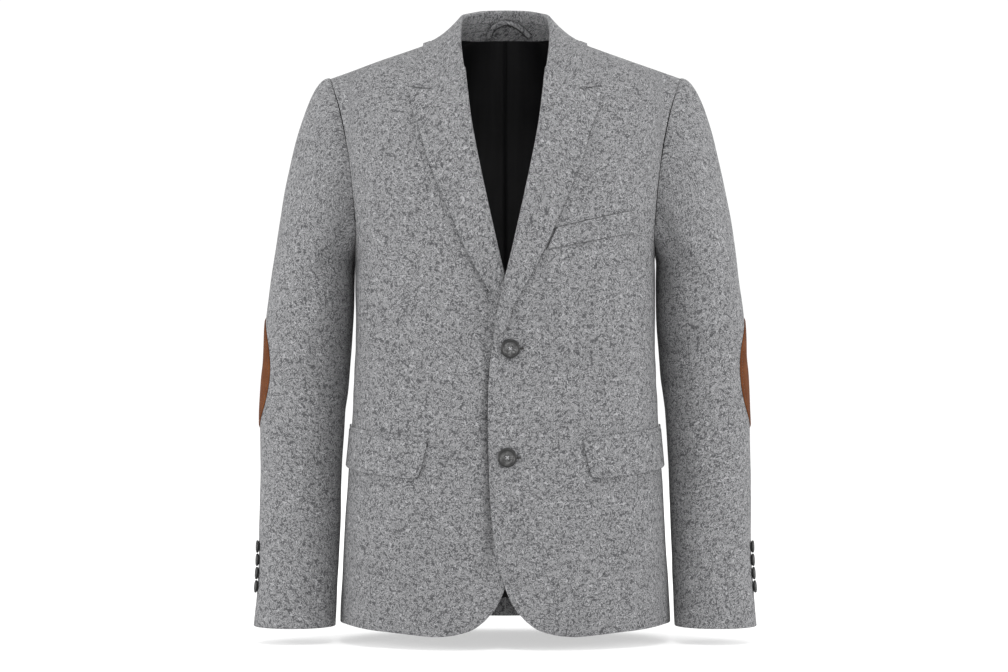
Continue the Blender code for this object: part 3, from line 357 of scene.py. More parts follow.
# Creases and soft folds: a trough where the depth is below zero, a ridge where it is above
FOLDS = [
    # front (-1) or back (1); start x, height; end x, height; width, depth
    (-1, 34, -352, 128, -398, 13, -1.2),
    (-1, -30, -356, -132, -392, 12, -1.0),
    (-1, 48, -338, 150, -330, 16, 0.9),
    (-1, -50, -334, -148, -322, 15, 0.8),
    (-1, 128, -520, 138, -684, 24, -2.9),
    (-1, -120, -536, -132, -684, 22, -2.6),
    (-1, 72, -560, 78, -690, 26, 1.7),
    (-1, -66, -548, -74, -690, 28, 1.6),
    (-1, 168, -236, 132, -318, 15, -2.3),
    (-1, -166, -240, -130, -330, 14, -2.2),
    (-1, 150, -160, 128, -236, 18, -1.6),
    (-1, -150, -166, -126, -248, 18, -1.4),
    (-1, 206, -232, 256, -300, 12, -2.6),
    (-1, -206, -238, -254, -312, 12, -2.5),
    (-1, 212, -262, 244, -330, 13, 1.6),
    (-1, -212, -268, -242, -338, 13, 1.6),
    (-1, 196, -352, 250, -338, 10, -2.9),
    (-1, -196, -346, -248, -334, 10, -2.6),
    (-1, 197, -388, 256, -376, 11, -2.6),
    (-1, -197, -384, -252, -368, 10, -2.9),
    (-1, 200, -420, 240, -414, 10, -1.7),
    (-1, -200, -416, -242, -408, 10, -1.8),
    (-1, 216, -600, 262, -606, 12, -1.6),
    (-1, -218, -592, -262, -600, 12, -1.6),
    (1, 262, -300, 292, -352, 15, -3.0),
    (1, -262, -306, -292, -360, 15, -2.8),
    (1, 212, -366, 262, -352, 14, -3.8),
    (1, -214, -360, -262, -348, 14, -3.6),
    (1, 218, -430, 270, -420, 13, -2.7),
    (1, -218, -436, -270, -424, 13, -2.8),
    (1, 150, -180, 118, -268, 20, -3.8),
    (1, -150, -186, -116, -280, 20, -3.6),
    (1, 70, -330, 160, -352, 16, -3.0),
    (1, -66, -336, -158, -346, 16, -2.8),
    (1, 60, -372, 150, -392, 15, -2.3),
    (1, -72, -376, -150, -398, 15, -2.5),
    (1, 96, -520, 104, -690, 28, -4.6),
    (1, -88, -530, -98, -690, 26, -4.2),
    (1, 34, -600, 36, -690, 24, 2.7),
    (1, -40, -590, -42, -690, 24, 2.5),
    (1, 196, -420, 186, -600, 26, -3.4),
    (1, -196, -430, -186, -610, 26, -3.2),
    (1, 40, -40, 120, -60, 22, -1.7),
    (1, -44, -42, -122, -58, 22, -1.7),
]
WAVES = [
    # direction x, y, z; wave length; height
    (0.9, 0.2, 0.4, 148.0, 0.30),
    (0.3, 0.5, -0.8, 111.0, 0.26),
    (-0.6, 0.7, 0.4, 83.0, 0.20),
    (0.7, -0.3, 0.6, 61.0, 0.13),
    (-0.2, 0.4, 0.9, 47.0, 0.09),
]

# Section of the lapel's roll, which turns round the edge of the front
LAPEL_CURL = [
    # outer offset, outer lift; inner offset, inner lift
    (-4.5, -3.0, -4.5, -2.6), (-2.2, -3.3, -2.2, -2.6), (-0.2, -3.3, -0.2, -2.6), (1.1, -2.7, 0.4, -2.2),
    (1.8, -1.5, 0.8, -1.3), (2.0, 0.0, 0.9, 0.0), (1.7, 1.6, 0.7, 0.7), (1.0, 3.0, 0.3, 0.9),
]

# Where the inside of a front shows tweed and not lining, from its edge inward
FACING_WIDTH = 62.0
HEM_TURN = 30.0
CUFF_TURN = 34.0

# Looks, with greys and colours as linear values
STRAP_ROUND = 10.3          # millimetres across the strap of the hanger loop, over its rounded face
# Painted shade along both edges of the hanger loop's strap and painted light along its middle, as brightness
# across it
STRAP_PAINTED_SHADE_AND_LIGHT = [
    # place across the strap, brightness: painted shade at both edges, painted light along the middle
    (0.0, 0.25), (0.14, 0.35), (0.30, 1.35), (0.68, 1.35), (0.86, 0.35), (1.0, 0.25),
]
STROKES = [
    # noise scale, offset, width of the light core, of the dark line, share of the cloth, stretch
    (0.150, (3.0, 8.0, 0.0), 0.0, 0.046, 0.49, (1.0, 1.0)),
    (0.190, (41.0, 13.0, 3.0), 0.0, 0.054, 0.48, (1.0, 1.0)),
    (0.130, (11.0, 67.0, 9.0), 0.0, 0.042, 0.48, (1.5, 0.8)),
    (0.170, (71.0, 29.0, 4.0), 0.0, 0.048, 0.47, (0.8, 1.4)),
    (0.150, (23.0, 31.0, 5.0), 0.034, 0.090, 0.46, (1.0, 1.0)),
    (0.190, (57.0, 5.0, 2.0), 0.042, 0.108, 0.45, (1.0, 1.0)),
]
TWEED_GREYS = [(0.30, 0.113), (0.50, 0.170), (0.70, 0.231)]
WOOL_TINT = (0.995, 0.998, 1.02)
DARK_FIBRE = (0.030, 0.030, 0.032)
LIGHT_FIBRE = (0.285, 0.285, 0.285)
SILK_BLACKS = [(0.0030, 0.0030, 0.0034), (0.0056, 0.0056, 0.0062)]
SUEDE_BROWNS = [
    # place on the ramp, colour
    (0.30, (0.066, 0.0215, 0.0080)), (0.55, (0.088, 0.0305, 0.0112)), (0.75, (0.110, 0.0410, 0.0160)),
]

# Room and camera, in metres
FLOOR_Z = -0.700
FLOOR_REACH = 30.0
CAMERA_DISTANCE = 3.2
CAMERA_HEIGHT = -0.330
CAMERA_X = -0.0014          # the picture's middle column lies this far from X = 0
PIXEL = 0.00122             # metres a pixel where Y is 0
IMAGE_WIDTH = 1008
SENSOR = 36.0
LAMP_AIM = (0.0, 0.0, -0.3)
LAMPS = [
    # name, place, size, power
    ("key", (0.3, -1.7, 2.4), 0.9, 38.0),
    ("front", (0.2, -3.4, 0.3), 1.8, 12.0),
    ("left_side", (-2.4, -1.1, 0.1), 1.4, 56.0),
    ("right_side", (2.4, -1.1, 0.1), 1.4, 50.0),
    ("top", (0, 0.5, 2.4), 1.6, 6.0),
    ("back", (0.5, 3.0, 1.2), 1.8, 38.0),
]


# ---------------------------------------------------------------- curves and surfaces

def through(at, keys, values):
    """A smooth curve through a table: the values at the given keys."""
    keys = np.asarray(keys, float)
    values = np.asarray(values, float)
    step = np.diff(keys)
    rise = np.diff(values) / step
    slope = np.empty(len(keys))
    slope[0], slope[-1] = rise[0], rise[-1]
    slope[1:-1] = (step[:-1] * rise[1:] + step[1:] * rise[:-1]) / (step[:-1] + step[1:])
    at = np.clip(at, keys[0], keys[-1])
    i = np.clip(np.searchsorted(keys, at, side="right") - 1, 0, len(step) - 1)
    t = (at - keys[i]) / step[i]
    return (values[i] * (1 + 2 * t) * (1 - t) ** 2 + slope[i] * step[i] * t * (1 - t) ** 2
            + values[i + 1] * t * t * (3 - 2 * t) - slope[i + 1] * step[i] * t * t * (1 - t))


def column(table, index):
    return np.array([row[index] for row in table], float)


def even(share):
    return share


def run_length(line):
    """Distance along a line at each of its points."""
    return np.concatenate([[0], np.cumsum(np.linalg.norm(np.diff(line, axis=0), axis=1))])


def along(points, count, ease=even):
    """Points spread along a smooth line through the given ones."""
    points = np.asarray(points, float)
    chord = run_length(points)
    fine = np.linspace(0, chord[-1], LINE_STEPS)
    line = np.stack([through(fine, chord, points[:, axis]) for axis in range(points.shape[1])], axis=1)
    length = run_length(line)
    wanted = ease(np.linspace(0, 1, count + 1)) * length[-1]
    return on_line(line, length, wanted)


def on_line(line, length, distance):
    return np.stack([np.interp(distance, length, values) for values in line.T], axis=-1)


def join(*lines):
    """Lines that follow each other, with their shared points taken once."""
    return np.concatenate([lines[0]] + [line[1:] for line in lines[1:]])


def patch(inner, outer, lower, upper):
    """A grid between four lines that meet at its corners. Its rows climb, its columns run outward."""
    u = np.linspace(0, 1, len(lower))[None, :, None]
    v = np.linspace(0, 1, len(inner))[:, None, None]
    sides = (1 - u) * inner[:, None] + u * outer[:, None]
    ends = (1 - v) * lower[None] + v * upper[None]
    corners = ((1 - u) * (1 - v) * lower[0] + u * (1 - v) * lower[-1]
               + (1 - u) * v * upper[0] + u * v * upper[-1])
    return sides + ends - corners


def unit(vectors):
    return vectors / np.maximum(np.linalg.norm(vectors, axis=-1, keepdims=True), 1e-9)


def half_width(z):
    return through(z, column(BODY_RINGS, 0), column(BODY_RINGS, 1))


def depth(z, side):
    return through(z, column(BODY_RINGS, 0), column(BODY_RINGS, 2 if side < 0 else 3))


def shoulder_height(x, side):
    """Height of the shoulder line, which bends up into the neck inside the neck point."""
    inside = np.clip(1 - (x / NECK_X) ** 2, 0, 1)
    outside = np.maximum(np.abs(x) - NECK_X, 0)
    neck = SHOULDER_SLOPE * NECK_X / 2 * inside + NECK_RISE[side] * inside ** 2
    return NECK_Z + neck - SHOULDER_SLOPE * outside


def body_y(x, z, side):
    """How far forward (side -1) or back (side 1) the outside of the body lies."""
    x, z = np.broadcast_arrays(np.asarray(x, float), np.asarray(z, float))
    flank = np.clip(1 - (np.abs(x) / half_width(z)) ** BODY_ROUND, 0, 1) ** (1 / BODY_ROUND)
    start = CURVE_START[side]
    rise = np.clip((z - start) / (shoulder_height(x, side) - start), 0, 1)
    close = (1 - rise ** 2) ** CLOSE_POWER
    seam = SHOULDER_SEAM_Y + side * SEAM / 2
    return seam * (1 - close) + side * depth(z, side) * flank * close


def on_body(x, z, side, lift=0.0):
    """A point of the front or back, moved out from the body by the lift."""
    x, z = np.broadcast_arrays(np.asarray(x, float), np.asarray(z, float))
    e = SLOPE_STEP
    across = (body_y(x + e, z, side) - body_y(x - e, z, side)) / (2 * e)
    up = (body_y(x, z + e, side) - body_y(x, z - e, side)) / (2 * e)
    normal = unit(side * np.stack([-across, np.ones_like(x), -up], axis=-1))
    ridge = (shoulder_height(x, side) - z < 1.0)[..., None]
    over = unit(np.stack([SHOULDER_SLOPE * np.sign(x), 0 * x, np.ones_like(x)], axis=-1))
    normal = np.where(ridge, over, normal)
    point = np.stack([x, body_y(x, z, side), z], axis=-1)
    return point + normal * np.asarray(lift, float)[..., None]


def ring_point(angle, z):
    """A point of the body below the armhole. The angle runs from the centre front to the back."""
    angle, z = np.broadcast_arrays(np.asarray(angle, float), np.asarray(z, float))
    power = 2 / BODY_ROUND
    forward = np.cos(angle)
    reach = np.where(forward > 0, depth(z, -1), depth(z, 1))
    x = half_width(z) * np.abs(np.sin(angle)) ** power
    return np.stack([x, -reach * np.sign(forward) * np.abs(forward) ** power, z], axis=-1)


def lifted(surface, a, b, lift, step_a, step_b):
    """A point of a two-way surface, moved out along its normal."""
    along_a = surface(a + step_a, b) - surface(a - step_a, b)
    along_b = surface(a, b + step_b) - surface(a, b - step_b)
    normal = unit(np.cross(along_a, along_b))
    return surface(a, b) + normal * np.asarray(lift, float)[..., None]


def on_ring(angle, z, lift):
    return lifted(ring_point, angle, z, lift, RING_ANGLE_STEP, HEIGHT_STEP)


def share_angle(share):
    """Angle on a body ring where x is this share of the half width, on the front half."""
    return np.arcsin(share ** (BODY_ROUND / 2))


def back_seam_share(z):
    return through(z, column(BACK_SEAM, 0), column(BACK_SEAM, 1))


def underarm(count):
    """Bottom of the armhole, from the front seam round to the back seam, as angle and height."""
    turn = np.linspace(0, math.pi, count + 1)
    front, back = ARMHOLE_FRONT[0], ARMHOLE_BACK[0]
    y_front = body_y(front[0], front[1], -1)
    y_back = body_y(back[0], back[1], 1)
    y = (y_front + y_back) / 2 - (y_back - y_front) / 2 * np.cos(turn)
    z = front[1] + (back[1] - front[1]) * turn / math.pi - UNDERARM_DROP * np.sin(turn)
    reach = np.where(y < 0, depth(z, -1), depth(z, 1))
    angle = np.arccos(np.clip(np.abs(y) / reach, 0, 1) ** (BODY_ROUND / 2))
    return np.stack([np.where(y < 0, angle, math.pi - angle), z], axis=1)


def crowd_top(share):
    """Rows crowd toward the shoulder, where the body turns over."""
    return 1 - (1 - share) ** 1.6


def crowd_end(share):
    """Finer steps toward the far end."""
    return 1 - (1 - share) ** 1.35


def smooth(share):
    return share * share * (3 - 2 * share)


def front_edge_x(z):
    return np.interp(z, column(FRONT_EDGE[:-1], 1), column(FRONT_EDGE[:-1], 0))


def under_sink(x, z):
    """Depth of the right front below the left one. Here x is measured toward the left front."""
    ramp = np.clip((x + UNDER_RAMP + UNDER_START - front_edge_x(z)) / UNDER_RAMP, 0, 1)
    return np.interp(z, column(UNDER_SINK, 0), column(UNDER_SINK, 1)) * smooth(ramp)


def front_point(x, z, lift, under):
    """A point over the front. Under the overlap, the right front is sunk."""
    if under:
        lift = lift - under_sink(-x, z)
    return on_body(x, z, -1, lift)


def front_outline():
    seam_x = FRONT_SEAM_SHARE * half_width(SIDE_HEM) - SEAM / 2
    lower = along(FRONT_HEM + [(seam_x, SIDE_HEM)], FRONT_COLUMNS, crowd_end)
    heights = np.linspace(SIDE_HEM, ARMHOLE_FRONT[0][1], ROWS_BELOW + 1)
    seam = np.stack([FRONT_SEAM_SHARE * half_width(heights) - SEAM / 2, heights], axis=1)
    outer = join(seam, along(ARMHOLE_FRONT, ROWS_ABOVE, crowd_top))
    outer[ROWS_BELOW] = seam[-1]
    edge = along(FRONT_EDGE, ROWS_BELOW + ROWS_ABOVE - NECK_ROWS)
    inner = join(edge, along(FRONT_NECK, NECK_ROWS))
    upper = along([(NECK_X, NECK_Z), ARMHOLE_FRONT[-1]], FRONT_COLUMNS)
    return patch(inner, outer, lower, upper)


def back_outline():
    heights = np.linspace(BACK_HEM, ARMHOLE_BACK[0][1], ROWS_BELOW + 1)
    seam = np.stack([back_seam_share(heights) * half_width(heights) - SEAM / 2, heights], axis=1)
    outer = join(seam, along(ARMHOLE_BACK, ROWS_ABOVE, crowd_top))
    outer[ROWS_BELOW] = seam[-1]
    bottom, blade, top = [(SEAM / 2, height) for height in (BACK_HEM, BLADE_HEIGHT, COLLAR[0][1])]
    neck = [top] + [row[:2] for row in COLLAR[1:SHOULDER_STATION + 1]]
    inner = join(along([bottom, blade], ROWS_BELOW), along([blade, top], ROWS_ABOVE - NECK_ROWS),
                 along(neck, NECK_ROWS))
    lower = along([inner[0], outer[0]], BACK_COLUMNS, crowd_end)
    upper = along([inner[-1], outer[-1]], BACK_COLUMNS)
    return patch(inner, outer, lower, upper)


def push_out(points, clearance):
    """Points that lie too near the body are moved out to the clearance."""
    x, y, z = points[..., 0], points[..., 1], points[..., 2]
    moved = points.copy()
    for side in (-1, 1):
        here = (side * (y - SHOULDER_SEAM_Y) >= 0) & (z < shoulder_height(x, side) - 0.5)
        base = on_body(x, z, side, 0 * x)
        normal = on_body(x, z, side, 0 * x + 1) - base
        distance = side * (y - base[..., 1]) * np.abs(normal[..., 1])
        short = np.maximum(clearance - distance, 0) * here
        moved += normal * short[..., None]
    return moved


def body_line(nodes, lift):
    """A line over the body through a node for each station, and each node's length along it."""
    parts = []
    for side, part in ((1, nodes[:SHOULDER_STATION + 1]), (-1, nodes[SHOULDER_STATION:])):
        flat = along(part, NECK_LINE_STEPS)
        parts.append(on_body(flat[:, 0], flat[:, 1], side, 0 * flat[:, 0] + lift))
    line = join(*parts)
    length = run_length(line)
    at = [length[np.argmin((line[:, 0] - x) ** 2 + (line[:, 2] - z) ** 2)] for x, z in nodes]
    return line, length, at


def collar_lines(stations):
    """Neck seam, fold and outer edge of the collar at signed stations, with its leg and notch bend."""
    place = np.abs(stations)
    number = np.arange(len(COLLAR))
    lines = []
    for first, lift in ((0, -SHELL / 2), (5, FALL_LIFT)):
        line, length, at = body_line([row[first:first + 2] for row in COLLAR], lift)
        lines.append(on_line(line, length, through(place, number, at)))
    fold = np.stack([through(place, number, column(COLLAR, i)) for i in (2, 3, 4)], axis=-1)
    sign = np.where(stations < 0, -1.0, 1.0)[:, None] * [1, 0, 0] + [0, 1, 1]
    leg, bend = through(place, number, column(COLLAR, 7)), through(place, number, column(COLLAR, 8))
    return lines[0] * sign, fold * sign, lines[1] * sign, leg, bend


def collar_frame(stations):
    """Directions at the fold: up and away from both legs, and outward from the neck."""
    neck, fold, edge, leg, bend = collar_lines(stations)
    up = unit(fold - (neck + edge) / 2)
    run = unit(np.gradient(fold, axis=0))
    outward = unit(np.cross(run, up))
    from_neck = (fold - NECK_CENTRE) * [1, 1, 0]
    outward *= np.sign(np.sum(outward * from_neck, axis=1, keepdims=True))
    return neck, fold, edge, leg, bend, up, outward


def leg_end(neck, fold, leg, outward):
    return fold + unit(neck - fold) * leg[:, None] - outward * FOLD_RADIUS


def thicken(grid, thickness):
    """Outer and inner grids on both sides of a middle one."""
    along_rows = np.gradient(grid, axis=0)
    along_columns = np.gradient(grid, axis=1)
    normal = unit(np.cross(along_rows, along_columns))
    return grid + normal * thickness / 2, grid - normal * thickness / 2


def stand_rows(stations, shares):
    neck, fold, _, leg, _, _, outward = collar_frame(stations)
    end = leg_end(neck, fold, leg, outward)
    run = unit(end - neck)
    low = neck + run * STAND_GAP
    high = end - run * STAND_GAP
    return np.stack([low + (high - low) * share for share in shares])


def pocket_ring(last, count=2000):
    """Angles on the body ring at the pockets, its points and their distance from the centre front."""
    angles = np.linspace(0, last, count)
    line = ring_point(angles, POCKET_LEVEL)
    return angles, line, run_length(line)


def angle_at(distance):
    """Angle on the body ring at the pockets, this far round from the centre front."""
    angles, _, length = pocket_ring(math.pi)
    return np.interp(distance, length, angles)


def pocket_span():
    """Distance from the centre front to both ends of a pocket."""
    _, line, length = pocket_ring(math.pi / 2)
    start = np.interp(FLAP_START_X, line[:, 0], length)
    return start, start + FLAP_LENGTH


def arm_point(angle, z):
    """Outside of the sleeve below the armhole. Angle 0 is its outer side, 90 degrees its front."""
    heights = column(SLEEVE_RINGS, 0)[::-1]
    ring = [through(z, heights, column(SLEEVE_RINGS, i)[::-1]) for i in range(1, 5)]
    return np.stack([ring[0] + ring[2] * np.cos(angle), ring[1] - ring[3] * np.sin(angle),
                     z + 0 * ring[0] + 0 * angle], axis=-1)


def armhole_loop():
    """The armhole as a closed line: from the shoulder down the front, under, and up the back."""
    front = along(ARMHOLE_FRONT, ROWS_ABOVE, crowd_top)[::-1]
    back = along(ARMHOLE_BACK, ROWS_ABOVE, crowd_top)
    under = underarm(UNDERARM_COLUMNS)
    return join(on_body(front[:, 0], front[:, 1], -1), ring_point(under[:, 0], under[:, 1]),
                on_body(back[:, 0], back[:, 1], 1))


def armhole_point(angle):
    """The armhole at an angle: 0 at the shoulder, 90 degrees in front, 180 under the arm."""
    loop = armhole_loop()
    length = run_length(loop)
    front, back = int(np.argmin(loop[:, 1])), int(np.argmax(loop[:, 1]))
    lowest = int(np.argmin(loop[:, 2]))
    marks = np.radians([0, 90, 180, 270, 360])
    wanted = np.interp(np.mod(angle, 2 * math.pi), marks, length[[0, front, lowest, back, len(loop) - 1]])
    return on_line(loop, length, wanted)


def cap_point(angle, share):
    """Outside of the sleeve head, from the armhole (0) down to the first sleeve ring (1)."""
    out = np.array([1.0, 0, 0])
    start = armhole_point(angle)
    end = arm_point(angle, np.full_like(angle, SLEEVE_TOP))
    radial = unit((start - armhole_loop().mean(axis=0)) * [0, 1, 1])
    top = np.clip(np.cos(angle), 0, 1)[..., None]
    under = np.clip(-np.cos(angle), 0, 1)[..., None]
    level = np.abs(np.sin(angle))[..., None]
    start = start + out * SLEEVE_GAP + radial * SLEEVE_ROPE * top
    slope = CAP_LEAVE["top"] * top + CAP_LEAVE["level"] * level + CAP_LEAVE["under"] * under
    leave = unit(out + radial * slope)
    arrive = unit(arm_point(angle, np.full_like(angle, SLEEVE_TOP - 1)) - end)
    reach = np.linalg.norm(end - start, axis=-1, keepdims=True)
    s = share[..., None]
    return (start * (1 + 2 * s) * (1 - s) ** 2 + leave * CAP_PULL[0] * reach * s * (1 - s) ** 2
            + end * s * s * (3 - 2 * s) - arrive * CAP_PULL[1] * reach * s * s * (1 - s))


def sleeve_point(angle, row):
    """Outside of the sleeve at a row, 0 at the armhole and the last at the cuff."""
    angle, row = np.broadcast_arrays(np.asarray(angle, float), np.asarray(row, float))
    cap = cap_point(angle, np.clip(row / CAP_ROWS, 0, 1))
    arm = arm_point(angle, SLEEVE_TOP + (CUFF - SLEEVE_TOP) * np.clip(row - CAP_ROWS, 0, None) / ARM_ROWS)
    return np.where((row > CAP_ROWS)[..., None], arm, cap)


def on_arm(angle, z, lift):
    return lifted(arm_point, angle, z, lift, ARM_ANGLE_STEP, HEIGHT_STEP)


def turned(profile, count):
    """Points and faces of a disc turned from a profile, which closes flat at both ends."""
    turns = [2 * math.pi * k / count for k in range(count)]
    points = [[0.0, 0.0, 0.0]]
    for radius, height in profile:
        points += [[radius * math.cos(turn), radius * math.sin(turn), height] for turn in turns]
    points.append([0.0, 0.0, profile[-1][1]])
    faces = []
    for k in range(count):
        after = (k + 1) % count
        faces.append([0, 1 + after, 1 + k])
        for ring in range(len(profile) - 1):
            a, b = 1 + ring * count, 1 + (ring + 1) * count
            faces.append([a + k, a + after, b + after, b + k])
        b = 1 + (len(profile) - 1) * count
        faces.append([b + k, b + after, len(points) - 1])
    return np.array(points), faces


def placed(points, spot, outward):
    """Points of a disc moved to a spot, with the disc's axis along the outward direction."""
    outward = unit(outward)
    across = unit(np.cross([0, 0, 1.0], outward))
    up = np.cross(outward, across)
    return spot + points @ np.stack([across, up, outward])


# ---------------------------------------------------------------- folds

def folds(points, mirror=False):
    """How far the cloth stands out or in at these points, or at their mirror images."""
    x, y, z = points[..., 0] * (-1 if mirror else 1), points[..., 1], points[..., 2]
    total = np.zeros(x.shape)
    for side, x0, z0, x1, z1, width, depth_here in FOLDS:
        run = np.array([x1 - x0, z1 - z0], float)
        share = np.clip(((x - x0) * run[0] + (z - z0) * run[1]) / (run @ run), 0, 1)
        distance = np.hypot(x - x0 - run[0] * share, z - z0 - run[1] * share)
        facing = np.clip(side * y / FOLD_FADE + 0.5, 0, 1)
        total += depth_here * np.exp(-(distance / width) ** 2) * facing
    for dx, dy, dz, length, height in WAVES:
        total += height * np.sin((dx * x + dy * y + dz * z) * 2 * math.pi / length)
    return total


# ---------------------------------------------------------------- meshes

def near_edges(flat, metric=(1.0, 1.0)):
    """The grid with a row or column more just inside each edge, for the cloth's rounded edge."""
    for axis in (0, 1):
        grid = np.moveaxis(flat, axis, 0)
        added = []
        for edge, inside in ((0, 1), (-1, -2)):
            step = grid[inside] - grid[edge]
            size = np.maximum(np.linalg.norm(step * np.array(metric), axis=-1, keepdims=True), 1e-6)
            added.append(grid[edge] + step * np.clip(EDGE / size, 0, 0.5))
        grid = np.concatenate([grid[:1], added[0][None], grid[1:-1], added[1][None], grid[-1:]])
        flat = np.moveaxis(grid, 0, axis)
    return flat


def rim_of(shape):
    """1 on the edge of a grid and 0 inside it."""
    rim = np.zeros(shape)
    rim[[0, -1], :] = 1
    rim[:, [0, -1]] = 1
    return rim


def lengths(grid):
    """Distance along each column of a grid from its first row."""
    steps = np.linalg.norm(np.diff(grid, axis=0), axis=-1)
    return np.concatenate([np.zeros((1, grid.shape[1])), np.cumsum(steps, axis=0)])


def grid_uv(grid):
    """Distances along the rows and the columns of a grid: its flat pattern."""
    return np.stack([lengths(np.swapaxes(grid, 0, 1)).T, lengths(grid)], -1)


def add(name, data):
    """An object of the scene with this mesh, lamp or camera."""
    made = bpy.data.objects.new(name, data)
    bpy.context.scene.collection.objects.link(made)
    return made


def new_mesh(name, points, faces):
    """A mesh in metres from points in millimetres."""
    mesh = bpy.data.meshes.new(name)
    mesh.from_pydata((points * MM).tolist(), [], faces)
    mesh.update()
    return mesh


def set_uv(mesh, name, uv):
    layer = mesh.uv_layers.new(name=name)
    loops = np.empty(len(mesh.loops), int)
    mesh.loops.foreach_get("vertex_index", loops)
    layer.data.foreach_set("uv", uv[loops].ravel())


def ride(name, mesh, node=None):
    """A piece that rides on the frame, in place of its node if it has one."""
    made = add(name, mesh)
    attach(made, "root")
    if node:
        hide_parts(node)


def shell(name, outer, inner, uv, finishes, mirror=False, lined=None):
    """A closed sheet of cloth between two grids. Lined faces of its inside take the second finish."""
    rows, columns = outer.shape[:2]
    count = rows * columns
    points = np.concatenate([outer.reshape(-1, 3), inner.reshape(-1, 3)])
    flat = uv.reshape(-1, 2)
    if mirror:
        points = points * [-1, 1, 1]
        flat = flat * [-1, 1] + OTHER_CUT
    index = np.arange(count).reshape(rows, columns)
    square = np.stack([index[:-1, :-1], index[:-1, 1:], index[1:, 1:], index[1:, :-1]], -1).reshape(-1, 4)
    ring = np.concatenate([index[0], index[1:, -1], index[-1, -2::-1], index[-2:0:-1, 0]])
    after = np.roll(ring, -1)
    border = np.stack([after, ring, ring + count, after + count], -1)
    faces = np.concatenate([square, square[:, ::-1] + count, border])
    a, b, c, d = np.moveaxis(points[faces], 1, 0)
    if np.einsum("ij,ij->", a, np.cross(b, c) + np.cross(c, d)) < 0:
        faces = faces[:, ::-1]
    which = np.zeros(len(faces), int)
    if lined is not None:
        which[len(square):2 * len(square)] = lined.reshape(-1)
    mesh = new_mesh(name + "_cloth", points, faces.tolist())
    mesh.shade_smooth()
    mesh.set_sharp_from_angle(angle=SHARP)
    set_uv(mesh, "cloth", np.concatenate([flat, flat]) * MM)
    for finish in finishes:
        mesh.materials.append(finish)
    mesh.polygons.foreach_set("material_index", which)
    ride(name + "_cloth", mesh, name)


def lift_at(lift, a, b):
    return lift(a, b) if callable(lift) else lift


def cloth(name, at, flat, far, near, finishes, mirror=False, uv=None, lined=None, metric=(1.0, 1.0),
          rounding=EDGE_DROP):
    """A sheet over a surface, from the near lift to the far one, with its folds and rounded edges."""
    flat = near_edges(flat, metric)
    a, b = flat[..., 0], flat[..., 1]
    base = at(a, b, 0 * a)
    normal = at(a, b, 0 * a + 1) - base
    move = folds(base, mirror)
    far, near = lift_at(far, a, b), lift_at(near, a, b)
    drop = rounding * rim_of(a.shape) * (far - near)
    outer = base + normal * (far + move - drop)[..., None]
    inner = base + normal * (near + move + drop)[..., None]
    inside = None
    if lined is not None:
        middle = (flat[:-1, :-1] + flat[1:, 1:]) / 2
        inside = lined(middle[..., 0], middle[..., 1]).astype(int)
    shell(name, outer, inner, uv(a, b, outer) if uv else flat, finishes, mirror, inside)


# ---------------------------------------------------------------- body pieces

def round_length(x):
    """Distance round the body from its centre to this x."""
    _, line, length = pocket_ring(math.pi / 2, 800)
    far = np.abs(x)
    return np.sign(x) * (np.interp(far, line[:, 0], length) + np.maximum(far - line[-1, 0], 0))


def body_uv(x, z, grid):
    return np.stack([round_length(x), z[:1] + lengths(grid)], -1)


def ring_uv(angle, z, grid):
    return np.stack([angle * BODY_UV_RADIUS, z], -1)


def fronts(tweed, silk):
    flat = front_outline()

    def lined(x, z):
        hem = np.interp(x, column(FRONT_HEM, 0), column(FRONT_HEM, 1))
        return (x > front_edge_x(z) + FACING_WIDTH) & (z > hem + HEM_TURN)

    for side, mirror in SIDES:
        def at(x, z, lift, mirror=mirror):
            """Under the overlap, the right front also dips beside the left one's edge."""
            if mirror:
                level = np.clip((DIP_TOP - z) / DIP_EASE, 0, 1) * np.clip((z - DIP_FOOT) / DIP_EASE, 0, 1)
                lift = lift - DIP_DEPTH * level * np.exp(-((x - DIP_X) / DIP_WIDTH) ** 2)
            return front_point(x, z, lift, mirror)
        cloth("front_" + side, at, flat, 0.0, -SHELL, (tweed, silk), mirror, body_uv, lined)


def backs(tweed, silk):
    flat = back_outline()
    x, z = flat[..., 0], flat[..., 1]
    outward = np.clip((x - HEM_CLIMB_FROM) / HEM_CLIMB_SPAN, 0, 1)
    low = np.clip((HEM_CLIMB_TOP - z) / HEM_CLIMB_SPAN, 0, 1)
    flat = np.stack([x, z + (SIDE_HEM - BACK_HEM) * HEM_CLIMB * outward * low], -1)

    def at(x, z, lift):
        return on_body(x, z, 1, lift)

    def lined(x, z):
        return z > BACK_HEM + HEM_TURN

    for side, mirror in SIDES:
        cloth("back_" + side, at, flat, 0.0, -SHELL, (tweed, silk), mirror, body_uv, lined,
              rounding=BACK_EDGE_DROP)


def side_bodies(tweed, silk):
    columns = UNDERARM_COLUMNS
    top = underarm(columns)
    tuck = SEAM / 2 / half_width(POCKET_LEVEL)
    lower_z = np.linspace(SIDE_HEM, top[0, 1], ROWS_BELOW + 1)
    front_angle = share_angle(FRONT_SEAM_SHARE) + tuck * SIDE_TUCK["front"]
    inner = np.stack([front_angle + 0 * lower_z, lower_z], axis=1)
    back_z = np.linspace(BACK_HEM + (SIDE_HEM - BACK_HEM) * HEM_CLIMB, top[-1, 1], ROWS_BELOW + 1)
    back_angle = math.pi - share_angle(back_seam_share(back_z)) - tuck * SIDE_TUCK["back"]
    outer = np.stack([back_angle, back_z], axis=1)
    top[0], top[-1] = inner[-1], outer[-1]
    lower = along([inner[0], outer[0]], columns)
    flat = patch(inner, outer, lower, top)

    def lined(angle, z):
        return z > SIDE_HEM + HEM_TURN

    for side, mirror in SIDES:
        cloth("side_" + side, on_ring, flat, 0.0, -SHELL, (tweed, silk), mirror, ring_uv, lined,
              metric=(BODY_UV_RADIUS, 1.0))


def crowd_start(share):
    """Shares with finer steps where the middle seam is."""
    return share ** 1.8


